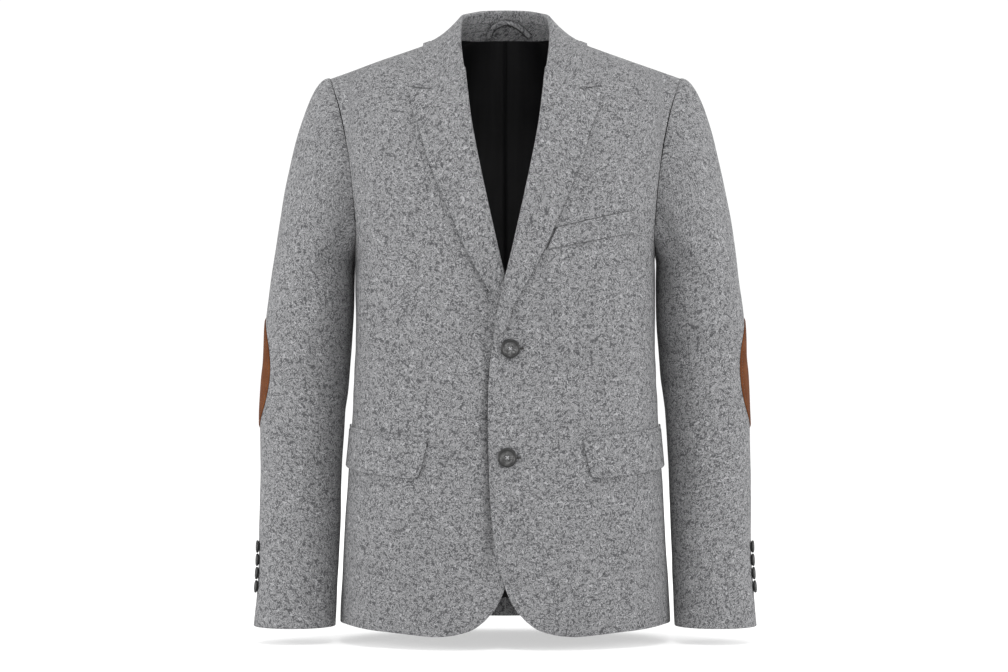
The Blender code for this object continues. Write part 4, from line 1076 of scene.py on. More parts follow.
def linings(silk):
    rows, columns = LINING_GRID
    bottom = LINING_EDGE[0][1]
    inner = along([(0.0, bottom), LINING_NECK[0]], rows, crowd_end)
    outer = along(LINING_EDGE, rows, crowd_end)
    lower = along([(0.0, bottom), LINING_EDGE[0]], columns, crowd_start)
    flat = patch(inner, outer, lower, along(LINING_NECK, columns, crowd_start))

    def at(x, z, lift):
        groove = LINING_GROOVE * np.exp(-(x / LINING_GROOVE_WIDTH) ** 2)
        return on_body(x, z, 1, lift + groove - LINING_REST * np.clip(z / LINING_FREE + 1, 0, 1))

    near = -SHELL - LINING_REST
    for side, mirror in SIDES:
        cloth("lining_" + side, at, flat, near, near - LINING_WALL, (silk,), mirror, body_uv)


# ---------------------------------------------------------------- lapels and collar

def lapels(tweed):
    table = np.array(LAPEL_ROLL, float)
    shares = np.concatenate([np.linspace(0, 0.12, 7)[:-1], np.linspace(0.12, NOTCH_SHARE, 16)[:-1],
                             np.linspace(NOTCH_SHARE, 1, 15)])
    lift = through(shares, table[:, 0], table[:, 1])
    rows = LAPEL_ROWS
    # The flat shape, ruled from the roll line to the outer edge, with the gorge and the notch on top
    roll = [point for point in FRONT_EDGE if ROLL_SPAN[0] < point[1] < ROLL_SPAN[1]]
    inner = along([LAPEL_END[0]] + roll + [(GORGE[0][0], GORGE[0][1] - GORGE_GAP)], rows)
    outer = along(LAPEL_EDGE, rows)
    corner = np.array([GORGE[1][0], GORGE[1][1] - GORGE_GAP])
    notch = int(np.argmin(np.abs(shares - NOTCH_SHARE)))
    gorge_part = shares[:notch + 1] / shares[notch]
    notch_part = (shares[notch:] - shares[notch]) / (1 - shares[notch])
    start, end = inner[-1], np.array(NOTCH_LAPEL)
    upper = join(start + (corner - start) * gorge_part[:, None],
                 corner + (end - corner) * notch_part[:, None])
    lower = np.array(LAPEL_END[0]) + np.subtract(*LAPEL_END[::-1]) * shares[:, None]
    u = shares[None, :, None]
    v = np.linspace(0, 1, rows + 1)[:, None, None]
    ruled = (1 - u) * inner[:, None] + u * outer[:, None]
    top_row = (1 - u) * inner[-1] + u * outer[-1]
    flat = ruled + (upper - top_row) * v ** GORGE_POWER
    flat[0] = lower
    # How high its two sides lie over the front
    full = smooth(np.clip(v[..., 0] / LAPEL_LOW, 0, 1))
    far = LAPEL_TIP_LIFT + (lift[None] + LAPEL_EDGE_RISE * shares[None] ** 4 - LAPEL_TIP_LIFT) * full
    near = np.maximum(far - LAPEL_CLOTH, REST)
    rim = rim_of(far.shape)
    rim[:, 0] = 0
    rim[-1, :notch] = 0
    drop = EDGE_DROP * (far - near) * rim
    far, near = far - drop, near + drop
    # The roll round the front's edge takes the place of the first column
    tangent = unit(np.gradient(inner, axis=0))
    away = np.stack([-tangent[:, 1], tangent[:, 0]], -1)
    away *= -np.sign(np.sum(away * (outer - inner), axis=1, keepdims=True))
    curl = np.array(LAPEL_CURL, float)
    start_up = smooth(np.clip(v[:, :, 0] * rows / CURL_START, 0, 1))

    def rolled(offset, height, body_far):
        spot = inner[:, None] + away[:, None] * (offset * start_up)[..., None]
        return spot, start_up * height + (1 - start_up) * body_far

    faces = []
    for first, body_lift in ((0, far), (2, near)):
        spot, roll_lift = rolled(curl[None, :, first], curl[None, :, first + 1], body_lift[:, :1])
        faces.append((np.concatenate([spot, flat[:, 1:]], axis=1),
                      np.concatenate([roll_lift, body_lift[:, 1:]], axis=1)))
    for side, mirror in SIDES:
        grids = []
        for spots, lifts in faces:
            x, z = spots[..., 0], spots[..., 1]
            base = front_point(x, z, 0 * x, mirror)
            grids.append(front_point(x, z, lifts + folds(base, mirror), mirror))
        shell("lapel_" + side, grids[0], grids[1], grid_uv(grids[0]), (tweed,), mirror)


def collar(tweed):
    last = len(COLLAR) - 1
    stations = np.linspace(-last, last, COLLAR_COLUMNS)
    neck, fold, edge, leg, bend, up, outward = collar_frame(stations)
    end = leg_end(neck, fold, leg, outward)
    start = fold - up * FOLD_RADIUS + outward * FOLD_RADIUS
    notch = np.array([GORGE[1][0], 0, GORGE[1][1] + SEAM])
    kink = notch - ((1 - NOTCH_SHARE) * fold[-1] + NOTCH_SHARE * edge[-1])
    kink[1] = 0
    inside = fold - up * FOLD_RADIUS - outward * FOLD_RADIUS
    sag = FALL_SAG * np.exp(-((np.abs(stations) - SHOULDER_STATION) / SAG_SPREAD) ** 2)
    down = unit(up + outward)
    # Up the inner leg, over the fold and down the fall
    rows = [end + (inside - end) * share for share in LEG_SHARES]
    for turn in np.radians(np.linspace(0, 180, FOLD_STEPS + 1)[1:-1]):
        lean = -math.cos(turn)
        rise = 1 - math.sin(turn)
        rows.append(fold - up * FOLD_RADIUS * rise + outward * FOLD_RADIUS * lean)
    shares = np.concatenate([np.linspace(0, NOTCH_SHARE, 13)[:-1], np.linspace(NOTCH_SHARE, 1, 10)])
    for share in shares:
        line = start + (edge - start) * share
        hat = min(share / NOTCH_SHARE, (1 - share) / (1 - NOTCH_SHARE))
        shift = kink * np.sign(stations)[:, None] * [1, 0, 0] + kink * [0, 0, 1]
        line = line + shift * (bend * hat)[:, None] - down * (sag * 4 * share * (1 - share))[:, None]
        rows.append(push_out(line, FALL_LIFT))
    grid = np.stack(rows)
    # Both front ends run along the gorge and the notch
    front = np.array(COLLAR_FRONT, float)
    places = np.concatenate([np.linspace(0, 1, 5), np.linspace(1, 3, 9)[1:-1],
                             np.interp(shares, FALL_SHARES, range(3, len(front)))])
    x, z, lift = [np.interp(places, range(len(front)), values) for values in front.T]
    for end_column, sign in ((0, -1), (-1, 1)):
        grid[:, end_column] = on_body(x, z, -1, lift) * [sign, 1, 1]
    outer, inner = thicken(grid, COLLAR_WALL)
    shell("collar", outer, inner, grid_uv(grid), (tweed,))


def collar_stand(tweed):
    stations = np.linspace(-STAND_END, STAND_END, STAND_COLUMNS)
    grid = stand_rows(stations, STAND_SHARES)
    outer, inner = thicken(grid, COLLAR_WALL)
    shell("collar_stand", outer, inner, grid_uv(grid), (tweed,))


def hanger_loop(strap):
    centre = along(HANGER_LOOP, 60)
    across = unit(np.gradient(centre, axis=0))[:, ::-1] * [-1, 1]
    band = stand_rows(np.linspace(-2, 2, 41), (0.0, 1.0))      # the stand behind the loop
    outer, inner = [], []
    for share, height_share in LOOP_PROFILE:
        spot = centre + across * LOOP_WIDTH * share
        middle = []
        for x, z in spot:
            height = (z - band[0, :, 2]) / (band[1, :, 2] - band[0, :, 2])
            line = band[0] + (band[1] - band[0]) * height[:, None]
            middle.append((x, np.interp(x, line[:, 0], line[:, 1]), z))
        free = np.sin(np.linspace(0, math.pi, len(middle)))[:, None]
        base = np.array(middle) - np.array([0, 1.0, 0]) * (COLLAR_WALL / 2 + REST + LOOP_STANDS * free)
        half = LOOP_WALL / 2
        outer.append(base - [0, half + half * height_share, 0])
        inner.append(base - [0, half - half * height_share, 0])
    grid = np.array(outer)
    shell("hanger_loop", grid, np.array(inner), grid_uv(grid), (strap,))


# ---------------------------------------------------------------- pockets

def pocket_cloth(name, flat, near, far, tweed):
    def at(distance, z, lift):
        return on_ring(angle_at(distance), z, lift)

    for side, mirror in SIDES:
        cloth(name + side, at, flat, far, near, (tweed,), mirror)


def flaps(tweed):
    start, end = pocket_span()
    slope = FLAP_RISE / FLAP_LENGTH
    arc_x = start + FLAP_LEAN + FLAP_CORNER
    arc_z = FLAP_TOP - FLAP_DROP + FLAP_CORNER
    corner = (arc_x - FLAP_CORNER * math.sqrt(0.5), arc_z - FLAP_CORNER * math.sqrt(0.5))
    base = (arc_x, arc_z - FLAP_CORNER)
    far_base = (end, base[1] + slope * (end - base[0]))
    front_line = [corner, (arc_x - FLAP_CORNER, arc_z), (start + FLAP_LEAN / 2, (arc_z + FLAP_TOP) / 2)]
    rows, corner_columns, columns = FLAP_GRID
    inner = along(front_line + [(start, FLAP_TOP)], rows)
    outer = along([far_base, (end, FLAP_TOP + FLAP_RISE)], rows)
    lower = join(along([corner, base], corner_columns), along([base, far_base], columns - corner_columns))
    upper = along([(start, FLAP_TOP), (end, FLAP_TOP + FLAP_RISE)], columns)
    flat = patch(inner, outer, lower, upper)

    def hang(distance, z):
        top = FLAP_TOP + slope * (distance - start)
        return REST + FLAP_HANG * np.clip((top - z) / FLAP_DROP, 0, 1)

    def far(distance, z):
        return hang(distance, z) + FLAP_WALL

    pocket_cloth("flap_", flat, hang, far, tweed)


def jets(tweed):
    start, end = pocket_span()
    low = along([(start, FLAP_TOP + SEAM), (end, FLAP_TOP + FLAP_RISE + SEAM)], FLAP_GRID[2])
    flat = np.stack([low + [0, JET_HEIGHT * share] for share in np.linspace(0, 1, 9)])
    pocket_cloth("jet_", flat, REST, REST + TRIM_WALL, tweed)


def chest_welt(tweed, thread):
    low_in, high_in, high_out, low_out = WELT
    rows, columns = WELT_GRID
    flat = patch(along([low_in, high_in], rows), along([low_out, high_out], rows),
                 along([low_in, low_out], columns), along([high_in, high_out], columns))

    def at(x, z, lift):
        return on_body(x, z, -1, lift)

    cloth("chest_welt", at, flat, REST + TRIM_WALL, REST, (tweed,), False, body_uv)
    # The dark sewn line round the welt is partly the real seam and partly painted shade along the welt's
    # edges
    path = join(along([low_in, high_in], 8), along([high_in, high_out], columns),
                along([high_out, low_out], 12), along([low_out, low_in], columns))
    path = path + unit(path - path.mean(axis=0)) * WELT_SEAM_OUT
    seam = on_body(*path.T, -1, folds(on_body(*path.T, -1)) + WELT_SEAM_LIFT)
    threads("welt_seam", [seam], WELT_SEAM_RADIUS, thread)


# ---------------------------------------------------------------- sleeves

def sleeve_surface(angle, row):
    """Points and outward normals of the sleeve."""
    e = CAP_STEP
    across = sleeve_point(angle + e, row) - sleeve_point(angle - e, row)
    down = sleeve_point(angle, row + e) - sleeve_point(angle, row - e)
    return sleeve_point(angle, row), unit(np.cross(across, down))


def sleeves(tweed, silk):
    tuck = math.degrees(SEAM / 2 / SLEEVE_RINGS[0][3])
    spans = {
        "top_sleeve_": (BACK_SLEEVE_SEAM + tuck, FRONT_SLEEVE_SEAM - tuck, TOP_SLEEVE_COLUMNS),
        "under_sleeve_": (FRONT_SLEEVE_SEAM + tuck, BACK_SLEEVE_SEAM + 360 - tuck, UNDER_SLEEVE_COLUMNS),
    }
    for name, (first, last, columns) in spans.items():
        angle = np.radians(np.linspace(first, last, columns + 1))[None]
        row = np.arange(CAP_ROWS + ARM_ROWS + 1.0)[:, None]
        flat = np.stack(np.broadcast_arrays(angle, row), -1)
        flat = near_edges(flat, (SLEEVE_RINGS[0][3], SLEEVE_ROW))
        angle, row = flat[..., 0], flat[..., 1]
        base, normal = sleeve_surface(angle, row)
        drop = EDGE_DROP * SLEEVE_WALL * rim_of(angle.shape)
        around, run = np.moveaxis(grid_uv(base), -1, 0)
        uv = np.stack([around - around[:, columns // 2][:, None], base[:1, :, 2] - run], -1)
        middle = (base[:-1, :-1, 2] + base[1:, 1:, 2]) / 2
        lined = (middle > CUFF + CUFF_TURN).astype(int)
        for side, mirror in SIDES:
            move = folds(base, mirror) * np.clip(row / CAP_ROWS * 3, 0, 1)
            outer = base + normal * (move - drop)[..., None]
            inner = base + normal * (move - SLEEVE_WALL + drop)[..., None]
            shell(name + side, outer, inner, uv, (tweed, silk), mirror, lined)


def on_sleeve(angle, z, lift, mirror):
    """A point over the arm with the sleeve's folds under it."""
    return on_arm(angle, z, lift + folds(on_arm(angle, z, 0.0), mirror))


def elbow_patches(suede, thread):
    u = np.linspace(-1, 1, PATCH_GRID[0])[None]
    v = np.linspace(-1, 1, PATCH_GRID[1])[:, None]
    across = u * np.sqrt(1 - v * v / 2)
    up = v * np.sqrt(1 - u * u / 2)
    reach = np.sqrt(across ** 2 + up ** 2)
    rounded = np.clip((reach - PATCH_ROUND) / (1 - PATCH_ROUND), 0, 1) ** 2
    pulled = PATCH_SINK * np.exp(-((reach - PATCH_STITCH) / PATCH_PULL) ** 2)
    far = PATCH_LIFT * (1 - 0.5 * rounded) - pulled
    near = PATCH_REST + 0 * rounded
    uv = np.stack([across * PATCH_HALF_WIDTH, up * PATCH_HALF_HEIGHT], -1)
    half = math.pi / PATCH_STITCHES * PATCH_STITCH_SHARE

    def spot(across, up, lift, mirror):
        angle = math.radians(PATCH_CENTRE[0]) - across * PATCH_HALF_WIDTH / PATCH_ARM_RADIUS
        return on_sleeve(angle, PATCH_CENTRE[1] + up * PATCH_HALF_HEIGHT, lift, mirror)

    for side, mirror in SIDES:
        shell("elbow_patch_" + side, spot(across, up, far, mirror), spot(across, up, near, mirror), uv,
              (suede,), mirror)
        lines = []
        for turn in np.arange(PATCH_STITCHES) / PATCH_STITCHES * 2 * math.pi:
            ends = np.array([turn - half, turn, turn + half])
            lines.append(spot(np.cos(ends) * PATCH_STITCH, np.sin(ends) * PATCH_STITCH,
                              PATCH_LIFT - PATCH_SINK + PATCH_STITCH_BEND, mirror))
        threads("patch_stitches_" + side, lines, PATCH_THREAD, thread, mirror)


def tube(line, radius, count=STITCH_SIDES):
    """Points and faces of a closed round thread along a line."""
    run = unit(np.gradient(line, axis=0))
    aside = unit(np.cross(run, [0.3, 0.2, 0.93]))
    up = np.cross(run, aside)
    turn = np.arange(count) / count * 2 * math.pi
    size = np.full(len(line), radius)
    size[[0, -1]] *= TIP_SHARE
    ring = (np.cos(turn)[None, :, None] * aside[:, None] + np.sin(turn)[None, :, None] * up[:, None])
    points = (line[:, None] + ring * size[:, None, None]).reshape(-1, 3)
    points = np.concatenate([points, line[:1], line[-1:]])
    faces = []
    for i in range(len(line) - 1):
        for k in range(count):
            a, b = i * count + k, i * count + (k + 1) % count
            faces.append([a, b, b + count, a + count])
    tip, top = len(points) - 2, (len(line) - 1) * count
    for k in range(count):
        faces.append([tip, (k + 1) % count, k])
        faces.append([tip + 1, top + k, top + (k + 1) % count])
    return points, faces


def threads(name, lines, radius, finish, mirror=False):
    """Many short threads as one piece."""
    points, faces, start = [], [], 0
    for line in lines:
        some, corners = tube(line, radius)
        points.append(some)
        faces += [[start + k for k in face] for face in corners]
        start += len(some)
    points = np.concatenate(points)
    if mirror:
        points = points * [-1, 1, 1]
        faces = [face[::-1] for face in faces]
    mesh = new_mesh(name, points, faces)
    mesh.shade_smooth()
    mesh.materials.append(finish)
    ride(name, mesh)


# ---------------------------------------------------------------- buttons

def drilled(profile, count, hole_radius, reach):
    """A turned disc with holes, as one mesh."""
    disc = add("disc", new_mesh("disc", *turned(profile, count)))
    cutters = []
    top = max(height for _, height in profile)
    for k in range(BUTTON_HOLES):
        turn = math.radians(45 + 360 / BUTTON_HOLES * k)
        rod, rod_faces = turned([(hole_radius, -1.0), (hole_radius, top + 1)], HOLE_SIDES)
        rod = rod + [reach * math.cos(turn), reach * math.sin(turn), 0]
        rod[0, 2] = -1.0
        cutters.append(add("rod", new_mesh("rod", rod, rod_faces)))
        cut = disc.modifiers.new("hole", "BOOLEAN")
        cut.operation = "DIFFERENCE"
        cut.solver = "EXACT"
        cut.object = cutters[-1]
    bpy.context.view_layer.update()
    result = bpy.data.meshes.new_from_object(disc.evaluated_get(bpy.context.evaluated_depsgraph_get()))
    for thing in (disc, *cutters):
        bpy.data.objects.remove(thing, do_unlink=True)
    return result


def button(name, pattern, spot, outward, finish, mirror):
    """A copy of the pattern mesh, placed with its axis along the outward direction."""
    mesh = pattern.copy()
    mesh.name = name
    local = np.empty(len(mesh.vertices) * 3)
    mesh.vertices.foreach_get("co", local)
    local = local.reshape(-1, 3) / MM
    points = placed(local, spot, outward)
    if mirror:
        points = points * [-1, 1, 1]
        mesh.flip_normals()
    mesh.vertices.foreach_set("co", (points * MM).ravel())
    mesh.update()
    mesh.shade_smooth()
    mesh.set_sharp_from_angle(angle=BUTTON_SHARP)
    mesh.materials.clear()
    mesh.materials.append(finish)
    set_uv(mesh, "face", local[:, :2] / np.abs(local[:, 0]).max())
    ride(name + "_disc", mesh, name)


def front_buttons(horn, thread, edging):
    pattern = drilled(FRONT_BUTTON_PROFILE, BUTTON_SIDES, BUTTON_HOLE_RADIUS, BUTTON_HOLE_REACH)
    slant = math.sqrt(0.5)
    share = np.linspace(-0.12, 1.12, 15)        # the ends dive into the holes
    arch = np.sin(math.pi * np.clip(share, 0, 1))
    run = BUTTON_HOLE_REACH * slant * (2 * share - 1)
    for name, (x, z) in FRONT_BUTTONS.items():
        lift = BUTTON_LIFT + folds(on_body(x, z, -1, BUTTON_LIFT))
        base = on_body(x, z, -1, lift)
        outward = unit(on_body(x, z, -1, lift + 1) - base)
        button("front_button_" + name, pattern, base, outward, horn, False)
        lines = []
        for way, rise in zip((1, -1), THREAD_ARCH):         # one diagonal, and the other over it
            height = np.where((share > 0) & (share < 1), THREAD_LEVEL + rise * arch, THREAD_SUNK)
            for off in (-THREAD_APART * slant, THREAD_APART * slant):
                path = np.stack([run - way * off, way * run + off, height], -1)
                lines.append(placed(path, base, outward))
        for turn in BUTTON_FEET:
            foot = np.array([[0.9 * math.cos(turn), 0.9 * math.sin(turn), h] for h in (-1.2, 0.2, 1.4)])
            lines.append(placed(foot, base, outward))
        threads("button_thread_" + name, lines, BUTTON_THREAD, thread)
        buttonhole(name, x, z, edging)


def buttonhole(name, x, z, edging):
    """A worked slit from under the button away from the front edge."""
    first, last, half = x + HOLE_START, x + HOLE_REACH - HOLE_HALF, HOLE_HALF
    low = [(s, -half) for s in np.linspace(first, last, 40)[:-1]]
    turn = np.linspace(-math.pi / 2, math.pi / 2, 13)
    end = [(last + HOLE_ROUND * math.cos(t), HOLE_ROUND * math.sin(t)) for t in turn]
    high = [(s, half) for s in np.linspace(last, first, 40)[1:]]
    path = np.array(low + end + high)
    run = run_length(path)
    tangent = unit(np.gradient(path, axis=0))
    count = int(run[-1] / HOLE_STEP)
    across = np.linspace(-HOLE_STITCH, HOLE_STITCH, 5)
    height = 0.15 + 0.45 * np.cos(across / HOLE_STITCH * math.pi / 2)
    lines = []
    for k in range(count):
        at = (k + 0.5) / count * run[-1]
        (px, pz), (tx, tz) = on_line(path, run, at), on_line(tangent, run, at)
        xs, zs = px + tz * across, z + pz - tx * across
        lines.append(on_body(xs, zs, -1, folds(on_body(xs, zs, -1)) + height))
    threads("buttonhole_" + name, lines, HOLE_THREAD, edging)


def cuff_buttons(horn, thread):
    pattern = drilled(CUFF_BUTTON_PROFILE, CUFF_BUTTON_SIDES, CUFF_HOLE_RADIUS, CUFF_HOLE_REACH)
    angle = np.radians(CUFF_BUTTON_ANGLE)
    r = CUFF_HOLE_REACH / math.sqrt(2)
    share = np.linspace(-1, 1, 9)       # the ends dive into the holes
    height = 2.5 + 0.3 * (1 - share ** 2) - 0.9 * (np.abs(share) > 0.95)
    for side, mirror in SIDES:
        lines = []
        for number in range(4):
            z = np.float64(CUFF_BUTTON_FIRST - CUFF_BUTTON_STEP * number)
            spot = on_sleeve(angle, z, BUTTON_LIFT, mirror)
            outward = unit(on_sleeve(angle, z, BUTTON_LIFT + 1, mirror) - spot)
            button(f"cuff_button_{side}_{number + 1}", pattern, spot, outward, horn, mirror)
            for off in (-r, r):
                path = np.stack([share * r * 1.15, 0 * share + off, height], -1)
                lines.append(placed(path, spot, outward))
            foot = np.array([[0, 0, h] for h in (-1.0, 0.2, 1.2)])
            lines.append(placed(foot, spot, outward))
        threads("cuff_thread_" + side, lines, CUFF_THREAD, thread, mirror)


# ---------------------------------------------------------------- materials

def opaque(colour):
    """A colour, or a grey given by one number, with its alpha."""
    return (*colour, 1.0) if hasattr(colour, "__len__") else (colour, colour, colour, 1.0)


class Nodes:
    """A short way to write a material's node tree."""

    def __init__(self, name):
        self.material = bpy.data.materials.new(name)
        self.material.use_nodes = True
        self.tree = self.material.node_tree
        self.shader = self.tree.nodes["Principled BSDF"]
        self.shader.inputs["Metallic"].default_value = 0.0

    def set(self, **values):
        for key, value in values.items():
            self.shader.inputs[key.replace("_", " ")].default_value = value

    def add(self, kind, inputs=None, **settings):
        made = self.tree.nodes.new("ShaderNode" + kind)
        for key, value in settings.items():
            setattr(made, key, value)
        for key, value in (inputs or {}).items():
            socket = made.inputs[key]
            if hasattr(value, "is_output"):
                self.tree.links.new(value, socket)
            else:
                socket.default_value = value
        return made

    def millimetres(self, place):
        """A place on the cloth or in the object, in millimetres."""
        return self.add("VectorMath", {0: place, "Scale": 1 / MM}, operation="SCALE").outputs[0]

    def on_cloth(self):
        return self.millimetres(self.add("UVMap", uv_map="cloth").outputs[0])

    def in_object(self):
        return self.millimetres(self.add("TexCoord").outputs["Object"])

    def math(self, operation, a, b=0.0):
        return self.add("Math", {0: a, 1: b}, operation=operation).outputs[0]

    def noise(self, vector, scale, detail=2.0, roughness=0.5, distortion=0.0):
        made = self.add("TexNoise", {"Vector": vector, "Scale": scale, "Detail": detail,
                                     "Roughness": roughness, "Distortion": distortion})
        return made.outputs["Fac"]

    def stretched(self, vector, scale, location=(0, 0, 0), turn=0.0):
        made = self.add("Mapping", {"Vector": vector, "Scale": scale, "Location": location,
                                    "Rotation": (0.0, 0.0, turn)})
        return made.outputs[0]

    def ramp(self, value, stops):
        made = self.add("ValToRGB", {"Fac": value})
        points = made.color_ramp.elements
        while len(points) < len(stops):
            points.new(0.5)
        for point, (place, colour) in zip(points, stops):
            point.position = place
            point.color = opaque(colour)
        return made.outputs[0]

    def mix(self, factor, a, b, kind="MIX"):
        made = self.add("Mix", {"Factor": factor}, data_type="RGBA", blend_type=kind)
        for socket, value in ((made.inputs[6], a), (made.inputs[7], b)):
            if hasattr(value, "is_output"):
                self.tree.links.new(value, socket)
            else:
                socket.default_value = opaque(value)
        return made.outputs[2]

    def finish(self, colour=None, rough=None, height=None, strength=1.0, distance=0.0004):
        if colour is not None:
            self.tree.links.new(colour, self.shader.inputs["Base Color"])
        if rough is not None:
            self.tree.links.new(rough, self.shader.inputs["Roughness"])
        if height is not None:
            bump = self.add("Bump", {"Height": height, "Strength": strength, "Distance": distance})
            self.tree.links.new(bump.outputs[0], self.shader.inputs["Normal"])
        return self.material


def strokes(n, place, scale, offset, width, share, stretch=(1.0, 1.0)):
    """Short curved strokes: broken contour lines of a noise."""
    field = n.noise(n.stretched(place, (scale * stretch[0], scale * stretch[1], 1.0), offset), 1.0, 1.0, 0.4)
    near = n.math("ABSOLUTE", n.math("SUBTRACT", field, 0.5))
    line = n.ramp(near, [(0.0, 1.0), (width * 0.5, 0.9), (width, 0.0)])
    gate = n.noise(n.stretched(place, (0.17, 0.17, 1.0), (offset[1], offset[0], 7.0)), 1.0, 1.0)
    gate = n.ramp(gate, [(1 - share - 0.03, 0.0), (1 - share + 0.03, 1.0)])
    return n.mix(1.0, line, gate, "MULTIPLY")


def tweed_material(name, strap=False):
    """Grey melange wool: a plain ground with short curved dark and light fibres lying all ways. On a strap,
    painted shade along its edges and painted light along its middle.
    """
    n = Nodes(name)
    n.set(Roughness=0.95, Sheen_Weight=0.06, Sheen_Roughness=0.6, Specular_IOR_Level=0.12)
    place = n.on_cloth()
    ground = n.noise(n.stretched(place, (0.62, 0.62, 1.0)), 1.0, 2.0, 0.6)
    colour = n.ramp(ground, TWEED_GREYS)
    dark, light = 0.0, 0.0
    for scale, offset, core, rim, share, stretch in STROKES:
        outline = strokes(n, place, scale, offset, rim, share, stretch)
        dark = n.mix(1.0, dark, outline, "LIGHTEN")
        if core:
            inside = strokes(n, place, scale, offset, core, share, stretch)
            light = n.mix(1.0, light, inside, "LIGHTEN")
    colour = n.mix(n.math("MULTIPLY", dark, 0.86), colour, DARK_FIBRE)
    colour = n.mix(n.math("MULTIPLY", light, 0.80), colour, LIGHT_FIBRE)
    cluster = n.ramp(n.noise(place, 0.045, 3.0, 0.6), [(0.30, 0.94), (0.70, 1.06)])
    colour = n.mix(1.0, colour, cluster, "MULTIPLY")
    yarn = n.noise(n.stretched(place, (1.15, 1.15, 1.0)), 1.0, 2.0, 0.6)
    grain = n.ramp(yarn, [(0.30, 0.76), (0.70, 1.24)])
    colour = n.mix(1.0, colour, grain, "MULTIPLY")
    colour = n.mix(1.0, colour, WOOL_TINT, "MULTIPLY")
    if strap:
        # painted shade along the strap's edges and painted light along its middle
        across = n.add("SeparateXYZ", {0: place}).outputs["Y"]
        share = n.math("DIVIDE", across, STRAP_ROUND)
        colour = n.mix(1.0, colour, n.ramp(share, STRAP_PAINTED_SHADE_AND_LIGHT), "MULTIPLY")
    weave = 0.0
    for direction in ("X", "Y"):
        bands = n.add("TexWave", {"Vector": place, "Scale": 0.157, "Distortion": 1.2, "Detail": 1.0,
                                  "Detail Scale": 1.5}, wave_type="BANDS", bands_direction=direction)
        weave = n.math("ADD", n.math("MULTIPLY", bands.outputs["Fac"], 0.2), weave)
    height = n.math("ADD", n.math("MULTIPLY", light, 0.5), n.math("MULTIPLY", yarn, 0.5))
    height = n.math("SUBTRACT", n.math("ADD", height, ground), n.math("MULTIPLY", dark, 0.6))
    return n.finish(colour, None, n.math("ADD", height, weave), 0.5, 0.0005)


def silk_material():
    n = Nodes("black_lining")
    n.set(Roughness=0.55, Sheen_Weight=0.02, Sheen_Roughness=0.4, Specular_IOR_Level=0.15)
    place = n.on_cloth()
    streak = n.noise(n.stretched(place, (0.10, 0.006, 1.0)), 1.0, 3.0, 0.6)
    colour = n.mix(n.ramp(streak, [(0.35, 0.0), (0.65, 1.0)]), *SILK_BLACKS)
    twill = n.add("TexWave", {"Vector": n.stretched(place, (1.0, 1.0, 1.0), (0, 0, 0), 0.9), "Scale": 1.1,
                              "Distortion": 0.4, "Detail": 1.0}, wave_type="BANDS").outputs["Fac"]
    soft = n.noise(n.stretched(place, (0.03, 0.004, 1.0)), 1.0, 2.0)
    height = n.math("ADD", n.math("MULTIPLY", twill, 0.04), soft)
    return n.finish(colour, None, height, 0.35, 0.0010)


def suede_material():
    n = Nodes("brown_suede")
    n.set(Roughness=0.95, Sheen_Weight=0.02, Sheen_Roughness=0.45, Specular_IOR_Level=0.06)
    place = n.on_cloth()
    cloud = n.noise(place, 0.05, 4.0, 0.6)
    nap = n.noise(n.stretched(place, (0.8, 0.4, 1.0)), 1.0, 3.0, 0.6)
    colour = n.ramp(cloud, SUEDE_BROWNS)
    grain = n.ramp(nap, [(0.30, 0.80), (0.70, 1.18)])
    colour = n.mix(1.0, colour, grain, "MULTIPLY")
    return n.finish(colour, None, nap, 0.5, 0.0005)


def horn_material():
    """Dark horn with its own swirl, a lighter dish that is a painted highlight inside a darker rim that is
    painted shade.
    """
    n = Nodes("dark_horn")
    n.set(Roughness=0.42, Specular_IOR_Level=0.3, Coat_Weight=0.06, Coat_Roughness=0.25)
    face = n.add("UVMap", uv_map="face").outputs[0]
    radius = n.add("VectorMath", {0: face}, operation="LENGTH").outputs["Value"]
    place = n.in_object()
    swirl = n.noise(n.stretched(place, (0.22, 0.22, 0.30)), 1.0, 4.0, 0.6, 1.4)
    # Painted highlight: the dish is lighter. Painted shade: the rim is darker. The swirl is the horn's own.
    dish_painted_highlight = n.ramp(swirl, [(0.34, 0.012), (0.50, 0.038), (0.66, 0.110)])
    rim = n.ramp(swirl, [(0.34, 0.005), (0.55, 0.010), (0.75, 0.028)])
    edge = n.ramp(radius, [(0.60, 0.0), (0.72, 1.0)])
    fine = n.noise(place, 1.2, 2.0)
    rough = n.ramp(fine, [(0.3, 0.32), (0.7, 0.48)])
    return n.finish(n.mix(edge, dish_painted_highlight, rim), rough, fine, 0.12, 0.0002)


def thread_material(name, low, high):
    n = Nodes(name)
    n.set(Roughness=0.8, Sheen_Weight=0.2, Specular_IOR_Level=0.3)
    place = n.in_object()
    strand = n.noise(place, 1.5, 2.0)
    colour = n.mix(n.ramp(strand, [(0.3, 0.0), (0.7, 1.0)]), low, high)
    return n.finish(colour, None, strand, 0.5, 0.0002)


# ---------------------------------------------------------------- studio

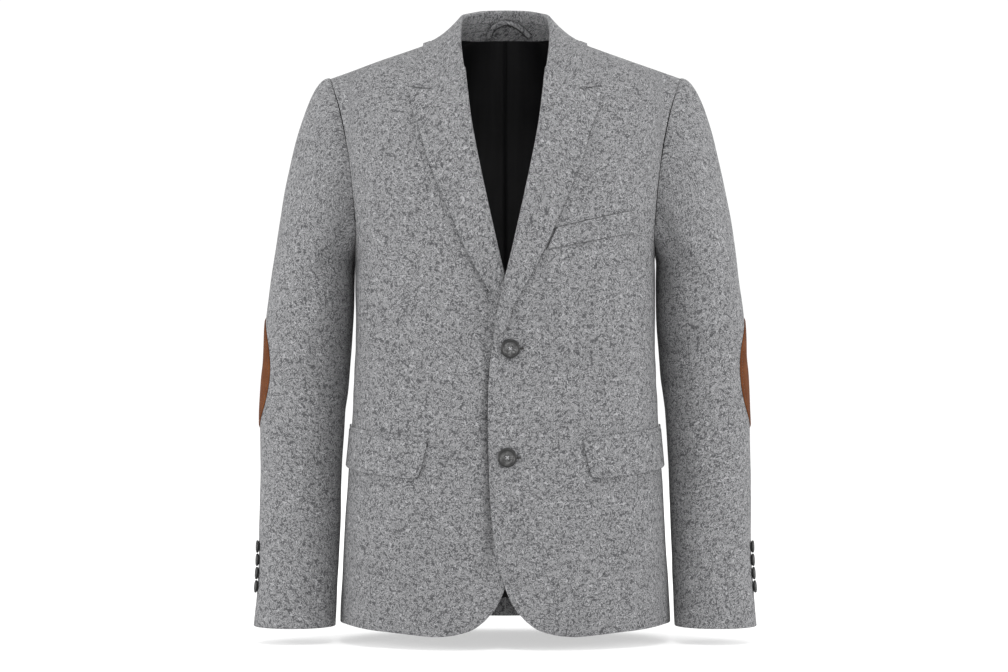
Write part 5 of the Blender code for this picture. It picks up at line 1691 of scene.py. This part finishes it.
def studio():
    world = bpy.data.worlds.new("studio")
    bpy.context.scene.world = world
    world.use_nodes = True
    back = world.node_tree.nodes["Background"]
    back.inputs["Color"].default_value = (1.0, 1.0, 1.0, 1.0)
    back.inputs["Strength"].default_value = 1.05
    bpy.context.scene.view_settings.view_transform = "Standard"
    bpy.context.scene.view_settings.look = "None"

    n = Nodes("studio_floor")
    n.set(Base_Color=(0.48, 0.48, 0.48, 1.0), Roughness=0.9, Specular_IOR_Level=0.1,
          Emission_Color=(1.0, 1.0, 1.0, 1.0), Emission_Strength=0.53)
    mesh = bpy.data.meshes.new("floor")
    corners = [(x * FLOOR_REACH, y * FLOOR_REACH, FLOOR_Z) for x, y in ((-1, -1), (1, -1), (1, 1), (-1, 1))]
    mesh.from_pydata(corners, [], [[0, 1, 2, 3]])
    mesh.materials.append(n.material)
    add("floor", mesh)

    for name, place, size, power in LAMPS:
        light = bpy.data.lights.new(name, "AREA")
        light.shape = "SQUARE"
        light.size = size
        light.energy = power
        lamp = add(name, light)
        lamp.location = place
        way = np.subtract(LAMP_AIM, place)
        lamp.rotation_euler = (math.atan2(math.hypot(way[0], way[1]), -way[2]), 0,
                               math.atan2(way[1], way[0]) - math.pi / 2)

    view = bpy.data.cameras.new("camera")
    view.sensor_width = SENSOR
    view.lens = SENSOR * CAMERA_DISTANCE / (PIXEL * IMAGE_WIDTH)
    camera = add("camera", view)
    camera.location = (CAMERA_X, -CAMERA_DISTANCE, CAMERA_HEIGHT)
    camera.rotation_euler = (math.pi / 2, 0, 0)
    bpy.context.scene.camera = camera


# ---------------------------------------------------------------- the jacket

tweed = tweed_material("grey_tweed")
# Tweed for the hanger loop with painted shade at the strap's edges and painted light along its middle
strap = tweed_material("strap_tweed_painted_shade", True)
silk = silk_material()
suede = suede_material()
horn = horn_material()
grey_thread = thread_material("grey_thread", (0.16, 0.16, 0.165), (0.34, 0.34, 0.35))
dark_thread = thread_material("dark_thread", (0.012, 0.012, 0.012), (0.034, 0.033, 0.032))
# Very dark thread round the welt: partly the real seam, partly painted shade along the welt's edges
seam_and_shade_thread = thread_material("seam_and_shade_thread", (0.028, 0.028, 0.029), (0.058, 0.058, 0.060))
patch_thread = thread_material("patch_thread", (0.030, 0.014, 0.008), (0.085, 0.038, 0.020))

fronts(tweed, silk)
side_bodies(tweed, silk)
backs(tweed, silk)
linings(silk)
lapels(tweed)
collar(tweed)
collar_stand(tweed)
hanger_loop(strap)
flaps(tweed)
jets(tweed)
chest_welt(tweed, seam_and_shade_thread)
sleeves(tweed, silk)
elbow_patches(suede, patch_thread)
front_buttons(horn, grey_thread, dark_thread)
cuff_buttons(horn, dark_thread)
studio()
